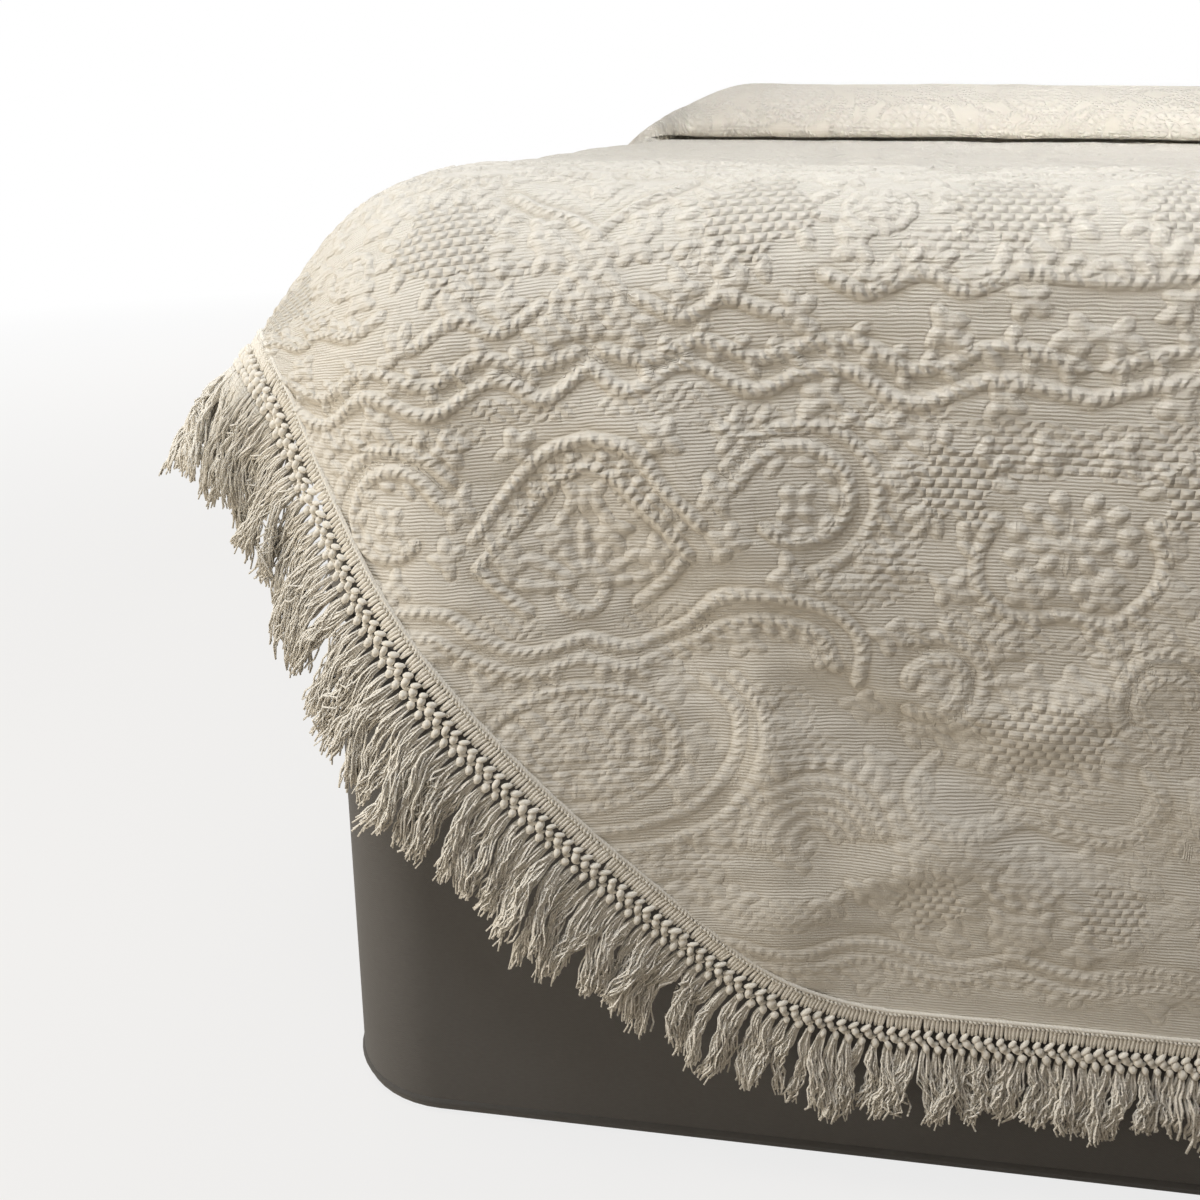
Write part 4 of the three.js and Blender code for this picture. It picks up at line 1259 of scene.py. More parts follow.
@dataclass
class Bedspread:
    """The woven sheet: a graded grid, fine where the foot drop shows its figures.

    A point closer to the foot hem than the snap share of a fine cell moves on to it. In millimetres, the
    groove beside a cord lies at a distance from it, with a half width and a depth.
    """

    drape: Drape
    cut: Cut
    half_cells: int = 80
    fine_across: Pair = (-0.745, -0.195)
    fine_from: float = -0.085
    foot_from: float = -0.110
    snap: float = 0.35
    skin: float = 0.6 * MM
    waffle_pad: float = 0.55
    groove: Triple = (5.2, 2.0, 0.35)
    hem_lift: Pair = (0.2 * MM, 1.2 * MM)
    hem_radius: float = 2.3 * MM
    part_rows: tuple[int, ...] = (9, 5, 6, 12, 12, 14, 12)

    def __post_init__(self) -> None:
        """Sizes the grid so that it ends on both side hems."""
        self.half_width = float(self.cut.half_outline()[-1, 0])
        self.unit = self.half_width / (SPLIT * self.half_cells)
        self.rows = math.ceil((self.cut.foot_run() - LYING_FROM) / (SPLIT * self.unit)) + 1

    def flat(self, i: Array, j: Array) -> tuple[Array, Array]:
        """Flat coordinates of the fine grid's points."""
        return (i - SPLIT * self.half_cells) * self.unit, LYING_FROM + j * self.unit

    def levels(self) -> Array:
        """How finely each base cell is split: 0, 1 or 2 times in half."""
        i, j = np.meshgrid(np.arange(2 * self.half_cells), np.arange(self.rows), indexing="ij")
        across, run = self.flat(SPLIT * i + SPLIT // 2, SPLIT * j + SPLIT // 2)
        level = np.where(run > self.foot_from, 1, 0)
        fine = (across > self.fine_across[0]) & (across < self.fine_across[1]) & (run > self.fine_from)
        level[fine] = 2
        round_fine = np.lib.stride_tricks.sliding_window_view(np.pad(fine, 1), (3, 3)).any((2, 3))
        return np.where(round_fine, np.maximum(level, 1), level)

    def cells(self) -> Array:
        """Every cell as its corner on the fine grid and its size."""
        level = self.levels()
        found = []
        for depth in (0, 1, 2):
            i, j = np.nonzero(level == depth)
            size = SPLIT >> depth
            for a in range(0, SPLIT, size):
                for b in range(0, SPLIT, size):
                    found.append(np.stack([SPLIT * i + a, SPLIT * j + b, np.full(len(i), size)], -1))
        return np.concatenate(found)

    def faces(self) -> tuple[Array, Array, Array, list[list[int]]]:
        """The graded grid, trimmed to the foot hem.

        Returns:
            Across and run of each point, the four-sided faces, and the others.
        """
        wide = SPLIT * self.rows + 1
        i, j, size = self.cells().T
        half = size // 2
        corners, middles = (np.stack([a * wide + b for a, b in places], -1) for places in (
            ((i, j), (i, j + size), (i + size, j + size), (i + size, j)),
            ((i, j + half), (i + half, j + size), (i + size, j + half), (i + half, j))))
        keys = np.unique(corners)
        extra = np.isin(middles, keys) & (size > 1)[:, None]
        across, run = self.flat(keys // wide, keys % wide)
        depth, toward = self.cut.depth(across, run)
        snap = np.abs(depth) < self.snap * self.unit
        shift = np.where(snap, depth, 0.0)[:, None] * toward
        across, run = across + shift[:, 0], run + shift[:, 1]
        depth = np.where(snap, 0.0, depth)
        index = np.searchsorted(keys, corners)
        middle_index = np.searchsorted(keys, np.where(extra, middles, keys[0]))
        inside = depth[index] >= 0
        touched = depth[index] > 0
        plain = inside.all(1) & ~extra.any(1) & touched.any(1)
        across, run = list(across), list(run)
        depths, cuts, others = list(depth), {}, []
        for row in np.nonzero(touched.any(1) & ~plain)[0]:
            loop = []
            for c in range(4):
                loop.append(int(index[row, c]))
                if extra[row, c]:
                    loop.append(int(middle_index[row, c]))
            others.append(self.trim(loop, across, run, depths, cuts))
        return np.array(across), np.array(run), index[plain], [o for o in others if len(o) > 2]

    def trim(self, loop: list[int], across: list[float], run: list[float], depths: list[float],
             cuts: dict[tuple[int, int], int]) -> list[int]:
        """Cuts one face along the hem, adding points where its edges cross it."""
        kept = []
        for a, b in zip(loop, loop[1:] + loop[:1]):
            if depths[a] >= 0:
                kept.append(a)
            if depths[a] * depths[b] < 0:
                edge = (min(a, b), max(a, b))
                if edge not in cuts:
                    share = depths[edge[0]] / (depths[edge[0]] - depths[edge[1]])
                    across.append(mix(across[edge[0]], across[edge[1]], share))
                    run.append(mix(run[edge[0]], run[edge[1]], share))
                    depths.append(0.0)
                    cuts[edge] = len(across) - 1
                kept.append(cuts[edge])
        return kept

    def head_rows(self) -> tuple[Array, Array]:
        """Points past the tuck, row by row, with their run by length along the cloth."""
        across, _ = self.flat(SPLIT * np.arange(2 * self.half_cells + 1), 0)
        rows = [self.drape.lying_and_foot(across, np.full_like(across, LYING_FROM))]
        for part, count in zip(Part, self.part_rows):
            rows += [self.drape.past_tuck(across, part, k / count) for k in range(1, count + 1)]
        points = np.array(rows)
        return points, LYING_FROM - reach_along(points.swapaxes(0, 1)).T

    def flat_size(self) -> Triple:
        """Width, length and area of the cut cloth, in metres."""
        _, run = self.head_rows()
        outline = self.cut.half_outline()
        wide, middle = np.diff(outline[:, 0]), (outline[1:, 1] + outline[:-1, 1]) / 2
        lying = 2 * np.sum(wide * (middle - LYING_FROM))
        past = float(np.mean(LYING_FROM - run[-1])) * 2 * self.half_width
        length = self.cut.foot_run() - float(run[-1].min())
        return 2 * self.half_width, length, float(lying) + past

    def surface(self) -> tuple[Array, Array, Array, Array, Array, list[list[int]]]:
        """The whole middle surface, with the rows past the tuck joined to the lying cloth.

        Returns:
            Across and run of each point, its place, its normal, the four-sided faces, and the others.
        """
        across, run, quads, others = self.faces()
        base, normals = self.drape.lying_and_foot(across, run), self.drape.normals(across, run)
        head, head_run = self.head_rows()
        head_normals = unit(np.cross(np.gradient(head, axis=1), np.gradient(head, axis=0)))
        columns, _ = self.flat(SPLIT * np.arange(head.shape[1]), 0)
        seam = np.array([np.argmin(np.abs(across - a) + np.abs(run - LYING_FROM)) for a in columns])
        past = len(across) + np.arange(len(columns) * (len(head) - 1))
        numbers = np.concatenate([seam, past]).reshape(len(head), -1)
        strip = np.stack([numbers[1:, :-1], numbers[:-1, :-1], numbers[:-1, 1:], numbers[1:, 1:]], -1)
        across = np.concatenate([across, np.broadcast_to(columns, head_run.shape)[1:].ravel()])
        run = np.concatenate([run, head_run[1:].ravel()])
        base = np.concatenate([base, head[1:].reshape(-1, 3)])
        normals = np.concatenate([normals, head_normals[1:].reshape(-1, 3)])
        return across, run, base, normals, np.concatenate([quads, strip.reshape(-1, 4)]), others

    def build(self) -> Piece:
        """Makes the sheet with its relief, and stores the pattern on its points."""
        across, run, base, normals, quads, others = self.surface()
        relief = Relief.over(across, run)
        rise, painted_shade = self.rise(across, run, relief)
        counts = sorted({len(o) for o in others})
        trimmed = [np.array([o for o in others if len(o) == sides]) for sides in counts]
        places = base + normals * (self.skin + rise)[:, None]
        stock = Stock()
        stock.add(places, np.stack([across, run], -1), quads, *trimmed)
        piece = stock.piece("bedspread_cloth", Slot.CLOTH)
        # painted_shade carries the shade painted into the grooves and hollows to the cloth's finish.
        stored = {"clear": rise01(relief.second - relief.cord, 0.8, 3.6), "painted_shade": painted_shade}
        for name in ("cord", "aside", "along", "lobe", "waffle", "pebble"):
            stored[name] = getattr(relief, name) * MM
        for name, values in stored.items():
            layer = piece.data.attributes.new(name, "FLOAT", "POINT")
            layer.data.foreach_set("value", values.astype(np.float32))
        self.drop_loose(piece)
        return dress(piece, CLOTH_FINISH.material())

    def head_hem(self) -> Piece:
        """The rolled hem at the head, sewn flat."""
        points, _ = self.head_rows()
        edge = points[-1:] + np.array([0.0, *self.hem_lift])
        stock = Stock()
        add_tubes(stock, edge, np.full(edge.shape[:2], self.hem_radius), np.array([[0.0, 0.0, 1.0]]), 8)
        return dress(stock.piece("head_hem", Slot.CLOTH), HEM_FINISH.material())

    @staticmethod
    def drop_loose(piece: Piece) -> None:
        """Removes the points that no face uses."""
        select_only(piece)
        bpy.ops.object.mode_set(mode="EDIT")
        bpy.ops.mesh.select_all(action="SELECT")
        bpy.ops.mesh.delete_loose(use_verts=True, use_edges=True, use_faces=False)
        bpy.ops.object.mode_set(mode="OBJECT")

    def rise(self, across: Array, run: Array, relief: Relief) -> tuple[Array, Array]:
        """Height of the cloth's skin over its middle surface.

        Args:
            across: Signed flat distance from the middle line.
            run: Flat distance toward the foot.
            relief: The pattern there.

        Returns:
            The height in metres, and the painted shade at each point, 0 to 1, deepest in the grooves
            beside the cords and where the pucker dips.
        """
        figures = rise01(run, *FIGURES_FROM)
        padded = rise01(relief.waffle, -2.0, 2.5) * self.waffle_pad
        beside, half_width, deep = self.groove
        sunk = np.exp(-((relief.cord - beside) / half_width) ** 2) * (relief.height < 0.2) * deep
        pucker = (PUCKER_PLAIN.at(across, run) * (1 - figures)
                  + (PUCKER_LONG.at(across, run) + PUCKER_SHORT.at(across, run)) * figures)
        billow = BILLOW_WIDE.at(across, run) + BILLOW_SMALL.at(across, run)
        figured = np.maximum(rise01(relief.height, 0.1, 0.6), rise01(relief.waffle, -1.0, 1.0))
        fullness = mix(FULLNESS[0], FULLNESS[1], rise01(run, *FULLNESS[2:]))
        height = ((relief.height + padded) * figures - sunk) * fullness
        height += pucker * (1 - 0.6 * figured) + billow
        # The second value is painted shade: dark in the grooves beside the cords and where the pucker
        # dips.
        return height * MM, np.clip(sunk * 2.4 - pucker * 0.35 * (1 - figured), 0, 1)


# ---- The fringe ----
@dataclass
class HemLine:
    """The fringed edge from the head of the left side round the foot to the right."""

    drape: Drape
    cut: Cut
    spacing: float = 1.5 * MM
    ease: float = 22 * MM

    def __post_init__(self) -> None:
        """Samples the edge and smooths its directions."""
        half = self.cut.half_outline()
        right = np.concatenate([half, [(half[-1, 0], LYING_FROM)]])
        flat = np.concatenate([right[:0:-1] * [-1, 1], right])
        length = reach_along(flat)
        at = np.linspace(0, length[-1], math.ceil(length[-1] / self.spacing))
        across, run = np.interp(at, length, flat[:, 0]), np.interp(at, length, flat[:, 1])
        points, ups = self.drape.lying_and_foot(across, run), self.drape.normals(across, run)
        head_y = self.drape.bed_length - self.drape.head_gap + self.drape.foot_y - FOOT_FACE
        ys = np.arange(head_y, points[0, 1] + self.spacing / 2, -self.spacing)
        ends = []
        for near in (0, -1):
            straight = np.repeat(points[near][None], len(ys), 0)
            straight[:, 1] = ys
            ends.append((straight, np.repeat(ups[near][None], len(ys), 0)))
        (left, left_ups), (right, right_ups) = ends
        self.points = np.concatenate([left, points, right[::-1]])
        ups = np.concatenate([left_ups, ups, right_ups[::-1]])
        self.length = reach_along(self.points)
        along = self.eased(unit(np.gradient(self.points, axis=0)))
        out = unit(np.cross(along, self.eased(ups)))
        self.frames = np.stack([along, np.cross(out, along), out], 1)

    def eased(self, rows: Array) -> Array:
        """Directions averaged over a window, so that the fringe turns evenly."""
        reach = round(self.ease / self.spacing)
        kernel = np.hanning(2 * reach + 3)[1:-1]
        padded = np.pad(rows, ((reach, reach), (0, 0)), mode="edge")
        kernel /= kernel.sum()
        return unit(np.stack([np.convolve(column, kernel, "valid") for column in padded.T], -1))

    def at(self, places: Array) -> tuple[Array, Array]:
        """Points and frames at lengths along the edge.

        Args:
            places: Lengths from the head of the left side.

        Returns:
            The points, and frames with rows along, up and out.
        """
        table = np.concatenate([self.points, self.frames.reshape(-1, 9)], axis=1)
        read = np.stack([np.interp(places, self.length, column) for column in table.T], -1)
        return read[:, :3], unit(read[:, 3:].reshape(-1, 3, 3))

    def spots(self, pitch: float, phase: float = 0.0) -> Array:
        """Evenly spaced lengths along the edge, close to a pitch apart."""
        count = round(self.length[-1] / pitch)
        return (np.arange(count) + 0.5 + phase) * self.length[-1] / count


@dataclass(frozen=True)
class BeadRow:
    """A row of beads along the hem: stitches or knots.

    Their pitch, the row's shift in pitches, its distance outward and up, the beads' half length, width and
    thickness, the angle of their long axis from the outward direction, the seed and amount of their small
    differences, and the rings of points in each.
    """

    pitch: float
    phase: float
    out: float
    up: float
    sizes: Triple
    turn: float
    seed: int
    spread: float = 0.10
    rings: int = 4

    def add(self, stock: Stock, hem: HemLine, start: float = 0.0) -> None:
        """Adds the beads, from a distance outside the hem."""
        rng = np.random.default_rng(self.seed)
        points, frames = hem.at(hem.spots(self.pitch, self.phase))
        count = len(points)
        angle = np.radians(self.turn + rng.normal(0, 60 * self.spread, count))[:, None]
        along, over, outward = frames[:, 0], frames[:, 1], frames[:, 2]
        long = unit(np.cos(angle) * outward + np.sin(angle) * along)
        long = unit(long + over * rng.normal(0, 0.9 * self.spread, count)[:, None])
        wide = unit(np.cross(long, over))
        away = start + self.out + rng.normal(0, 3 * self.spread * MM, count)
        lift = self.up + rng.normal(0, 2.4 * self.spread * MM, count)
        places = points + outward * away[:, None] + over * lift[:, None]
        scale = np.array(self.sizes) * (1 + rng.normal(0, self.spread, (count, 3)))
        add_beads(stock, places, np.stack([long, wide, np.cross(long, wide)], 1), scale, self.rings)


KNOT_PITCH = 6.8 * MM
LAST_KNOTS = 0.98
STITCHES = BeadRow(2.5 * MM, 0.0, 0.9 * MM, 1.9 * MM, (1.65 * MM, 0.9 * MM, 0.85 * MM), 52, 12, 0.06, 3)
KNOTS = (
    BeadRow(KNOT_PITCH, 0.0, 1.6 * MM, 1.7 * MM, (3.5 * MM, 1.9 * MM, 1.9 * MM), -38, 21),
    BeadRow(KNOT_PITCH, 0.28, 5.4 * MM, 1.5 * MM, (3.6 * MM, 2.4 * MM, 2.4 * MM), 20, 22),
    BeadRow(KNOT_PITCH, 0.72, 8.6 * MM, 0.1 * MM, (2.7 * MM, 1.6 * MM, 1.6 * MM), -48, 23),
    BeadRow(KNOT_PITCH, LAST_KNOTS, 11.6 * MM, 1.2 * MM, (3.2 * MM, 2.3 * MM, 2.3 * MM), 24, 24),
)


@dataclass(frozen=True)
class Tassels:
    """Bundles of strands that hang from the last row of knots, on one stretch of the hem.

    It has a number of strands in a bundle, steps along a strand, and a strand's radius. Where a size is a
    pair, it is the least and the greatest, or for the bow and the bundle the one along the hem and the one
    out of the cloth.
    """

    name: str
    corner: bool
    strands: int
    steps: int
    radius: float
    seed: int

    hang: Pair = (0.045, 0.072)
    lengthens: Pair = (0.10, 0.69)
    length_spread: float = 0.06
    uneven: Uneven = Uneven(0.17, 0.021, 1.0, 32)
    lift: float = 0.10
    lifted: Uneven = Uneven(0.10, 0.024, 1.0, 33)
    gather: Pair = (12 * MM, 27 * MM)
    pull: float = 0.85
    most_lean: float = 0.5
    lean_spread: float = 0.09
    sag: float = 0.62
    bow: Pair = (2.6 * MM, 1.6 * MM)
    bow_turn: Pair = (3.2, 6.4)
    bundle: Pair = (3.4 * MM, 1.4 * MM)
    splay: Pair = (0.9, 1.7)
    sway: float = 1.4 * MM
    sway_turns: Pair = (1.6, 3.6)
    loose_share: float = 0.14
    loose_sway: float = 3.2
    stray: float = 1.3 * MM
    ends: Pair = (0.80, 1.03)
    thickness: Pair = (0.8, 1.2)

    def cores(self, rng: np.random.Generator, hem: HemLine, spots: Array,
              start: float) -> tuple[Array, Array]:
        """The line that each bundle follows: out over the hem, then down, leaning to where bundles gather.

        Args:
            rng: Draws the small differences.
            hem: The fringed edge.
            spots: Length along the edge of each bundle.
            start: Distance outward at which it starts.

        Returns:
            The lines, bundle by station by three, and how far the strands of each may swing.
        """
        points, frames = hem.at(spots)
        along, over, out = frames[:, 0], frames[:, 1], frames[:, 2]
        count = len(spots)
        length = mix(*self.hang, rise01(np.abs(points[:, 0]), *self.lengthens)) * (
            1 + self.uneven.at(spots, spots * 0) + rng.normal(0, self.length_spread, count))
        many = round(hem.length[-1] / self.gather[0])
        gathers = np.cumsum(np.random.default_rng(31).uniform(*self.gather, many))
        toward = gathers[np.abs(spots[:, None] - gathers[None]).argmin(1)] - spots
        lean = np.clip(self.pull * toward / length, -self.most_lean, self.most_lean)
        lean += rng.normal(0, self.lean_spread, count)
        loose = np.where(rng.random(count) < self.loose_share, self.loose_sway, 1.0)
        lift = self.lift + self.lifted.at(spots, spots * 0)
        share = np.linspace(0, 1, self.steps)
        bent = 1 - (1 - share) ** 2
        down = np.array([0.0, 0.0, -self.sag])
        side = out[:, None] * (1 - self.sag * bent)[None, :, None] + down * bent[None, :, None]
        heading = unit(side + along[:, None] * (lean[:, None] * bent)[..., None]
                       + over[:, None] * (lift[:, None] * (1 - 1.4 * share)[None])[..., None])
        stride = heading * (length / (self.steps - 1))[:, None, None]
        core = np.concatenate([np.zeros((count, 1, 3)), np.cumsum(stride[:, :-1], axis=1)], axis=1)
        core += (points + out * start)[:, None]
        phase = rng.uniform(0, 2 * math.pi, (count, 1, 2))
        swing = rng.uniform(*self.bow_turn, (count, 1, 2))
        bow = np.sin(phase + swing * share[None, :, None]) - np.sin(phase)
        bow *= rise01(share, 0, 0.5)[None, :, None]
        core += along[:, None] * bow[..., :1] * self.bow[0] + over[:, None] * bow[..., 1:] * self.bow[1]
        return core, loose

    def build(self, hem: HemLine, chosen: Array, start: float) -> Piece:
        """Makes the tassels.

        Args:
            hem: The fringed edge.
            chosen: Which of the last knots they hang from.
            start: Distance outward at which they start.

        Returns:
            The new piece.
        """
        spots = hem.spots(KNOT_PITCH, LAST_KNOTS)[chosen]
        _, frames = hem.at(spots)
        along, over = frames[:, 0], frames[:, 1]
        rng = np.random.default_rng(self.seed)
        core, loose = self.cores(rng, hem, spots, start)
        count, share = len(spots), np.linspace(0, 1, self.steps)
        place = rng.uniform(-1, 1, (count, self.strands, 2))
        splay = mix(1.0, rng.uniform(*self.splay, (count, 1)), share[None])
        splay *= 0.55 + 0.45 * rise01(share, 0, 0.25)
        wave = rng.uniform(0, 2 * math.pi, (count, self.strands, 2))
        turns = rng.uniform(*self.sway_turns, (count, self.strands, 2))
        sway = np.sin(wave[:, :, None] + turns[:, :, None] * 2 * math.pi * share[None, None, :, None])
        sway *= (self.sway * rise01(share, 0.02, 0.4))[None, None, :, None]
        sway *= np.where(rng.random((count, self.strands)) < 0.4, loose[:, None], 1.0)[..., None, None]
        stray = rng.normal(0, 1, (count, self.strands, 2))[:, :, None]
        stray = stray * (self.stray * share ** 2.2)[None, None, :, None]
        aside = place[:, :, None] * np.array(self.bundle) * splay[:, None, :, None] + sway + stray
        ends = rng.uniform(*self.ends, (count, self.strands))
        own = core[:, None] - core[:, None, :1]
        lines = (core[:, None, :1] + own * ends[:, :, None, None] + along[:, None, None] * aside[..., :1]
                 + over[:, None, None] * aside[..., 1:])
        radii = self.radius * rng.uniform(*self.thickness, (count, self.strands, 1))
        radii = radii * np.where(share > 0.97, 0.9, 1.0)
        ups = np.repeat(over[:, None], self.strands, 1).reshape(-1, 3)
        stock = Stock()
        add_tubes(stock, lines.reshape(-1, self.steps, 3), radii.reshape(-1, self.steps), ups, 3)
        return dress(stock.piece(self.name, Slot.YARN), YARN_FINISH.material())


@dataclass
class Fringe:
    """Corded heading, knotted netting and yarn tassels sewn along the hem.

    The strands at the foot-left corner, between the two distances across that showing gives, are finer.
    """

    hem: HemLine
    heading_width: float = 10.5 * MM
    netting_from: float = 0.8 * MM
    netting_width: float = 13.8 * MM
    rib_radius: float = 1.22 * MM
    rib_shape: tuple[float, ...] = (0.66, 1.0, 0.98, 0.64)
    rib_from: float = 0.7 * MM
    rib_lift: Pair = (0.9 * MM, 0.4 * MM)
    roll_radius: float = 1.35 * MM
    roll_place: Pair = (-0.7 * MM, 1.0 * MM)
    showing: Pair = (-0.76, -0.16)
    showing_from_foot: float = 0.32
    tassels: tuple[Tassels, ...] = (
        Tassels("fringe_tassels_corner", True, 22, 11, 0.68 * MM, 41),
        Tassels("fringe_tassels_long", False, 8, 7, 1.0 * MM, 42),
    )

    def at_corner(self) -> Array:
        """Which of the last knots lie along the foot-left corner."""
        x, y, _ = self.hem.at(self.hem.spots(KNOT_PITCH, LAST_KNOTS))[0].T
        near_foot = y < self.hem.drape.foot_y + self.showing_from_foot
        return (x > self.showing[0]) & (x < self.showing[1]) & near_foot

    def heading(self) -> Piece:
        """Ribs side by side across a band, with a rolled edge and a chain of stitches over the seam."""
        stock = Stock()
        rng = np.random.default_rng(11)
        points, frames = self.hem.at(self.hem.spots(KNOT_PITCH / 3))
        along, over, out = frames[:, 0], frames[:, 1], frames[:, 2]
        count = len(points)
        lean = rng.normal(0, 0.05, count)[:, None]
        share = np.linspace(0, 1, len(self.rib_shape))
        width = self.heading_width * (1 + rng.normal(0, 0.02, count))
        reach = share[None, :, None] * width[:, None, None]
        lines = (points[:, None] + out[:, None] * (self.rib_from + reach) + (along * lean)[:, None] * reach
                 + over[:, None] * mix(*self.rib_lift, share)[None, :, None])
        radii = self.rib_radius * np.array(self.rib_shape)[None] * (1 + rng.normal(0, 0.05, (count, 1)))
        add_tubes(stock, lines, radii, over, 5)
        whole = self.hem.length[-1]
        edge, frames = self.hem.at(np.linspace(0, whole, round(whole / (4 * MM))))
        roll = edge + frames[:, 2] * self.roll_place[0] + frames[:, 1] * self.roll_place[1]
        add_tubes(stock, roll[None], np.full((1, len(roll)), self.roll_radius), frames[:1, 1], 6)
        STITCHES.add(stock, self.hem)
        return dress(stock.piece("fringe_heading_cords", Slot.YARN), YARN_FINISH.material())

    def netting(self) -> Piece:
        """Upright loops, then two staggered rows of knots joined by crossing loops."""
        stock = Stock()
        for row in KNOTS:
            row.add(stock, self.hem, self.heading_width + self.netting_from)
        return dress(stock.piece("fringe_netting_knots", Slot.YARN), YARN_FINISH.material())

    def build(self) -> list[Piece]:
        """Makes every row of the fringe, from the seam outward."""
        corner = self.at_corner()
        rows = [self.heading(), self.netting()]
        return rows + [row.build(self.hem, corner == row.corner, self.heading_width + self.netting_width)
                       for row in self.tassels]


# ---- The bed under the cloth ----
@dataclass(frozen=True)
class Outline:
    """A rounded rectangle seen from above: half width, both ends and the corners' radii."""

    half_width: float
    foot_y: float
    head_y: float
    foot_corner: float
    head_corner: float

    def points(self, z: float, out: float = 0.0, per_corner: int = 14) -> Array:
        """Points round the outline at a height, a distance outside it."""
        places = []
        head, foot = (self.head_y, self.head_corner), (self.foot_y, self.foot_corner)
        for side, (end, radius), start in ((1, head, 0), (-1, head, 90), (-1, foot, 180), (1, foot, 270)):
            inward = -1 if end > 0 else 1
            turn = np.radians(start + np.linspace(0, 90, per_corner))
            x = side * (self.half_width - radius) + (radius + out) * np.cos(turn)
            y = end + inward * radius + (radius + out) * np.sin(turn)
            places.append(np.stack([x, y, np.full(per_corner, z)], -1))
        return np.concatenate(places)


@dataclass(frozen=True)
class Bedding:
    """A padded piece made from its solid, a little slimmer where the cloth lies on it."""

    node: str
    slot: Slot
    voxel: float
    fill: float
    finish: PlainWeaveFinish
    slimmer: float = 2.0 * MM
    upper: Pair = (0.35, 0.60)
    smoothing: int = 6

    def build(self) -> Piece:
        """Remeshes the solid, smooths it and draws it in under the cloth."""
        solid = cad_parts[self.node]
        piece = put_in_scene(f"{self.node}_padded", solid.data.copy())
        piece.data.materials.clear()
        select_only(piece)
        remesh = piece.modifiers.new("even", "REMESH")
        remesh.mode, remesh.voxel_size = "VOXEL", self.voxel
        bpy.ops.object.modifier_apply(modifier="even")
        smooth = piece.modifiers.new("soft", "SMOOTH")
        smooth.factor, smooth.iterations = 0.5, self.smoothing
        bpy.ops.object.modifier_apply(modifier="soft")
        points, normals = np.empty((2, len(piece.data.vertices) * 3), np.float32)
        piece.data.vertices.foreach_get("co", points)
        piece.data.vertices.foreach_get("normal", normals)
        points, normals = points.reshape(-1, 3), normals.reshape(-1, 3)
        low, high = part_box(self.node)
        share = rise01(points[:, 2], *(low.z + part * (high.z - low.z) for part in self.upper))
        moved = points - normals * (self.slimmer * share)[:, None]
        moved[:, 2] = np.maximum(moved[:, 2], low.z)
        piece.data.vertices.foreach_set("co", moved.astype(np.float32).ravel())
        piece.data.shade_smooth()
        piece.data.update()
        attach(piece, "root")
        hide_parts(self.node)
        LOG.info("%s: %d triangles", piece.name, 2 * len(piece.data.polygons))
        return dress(piece, self.finish.material())


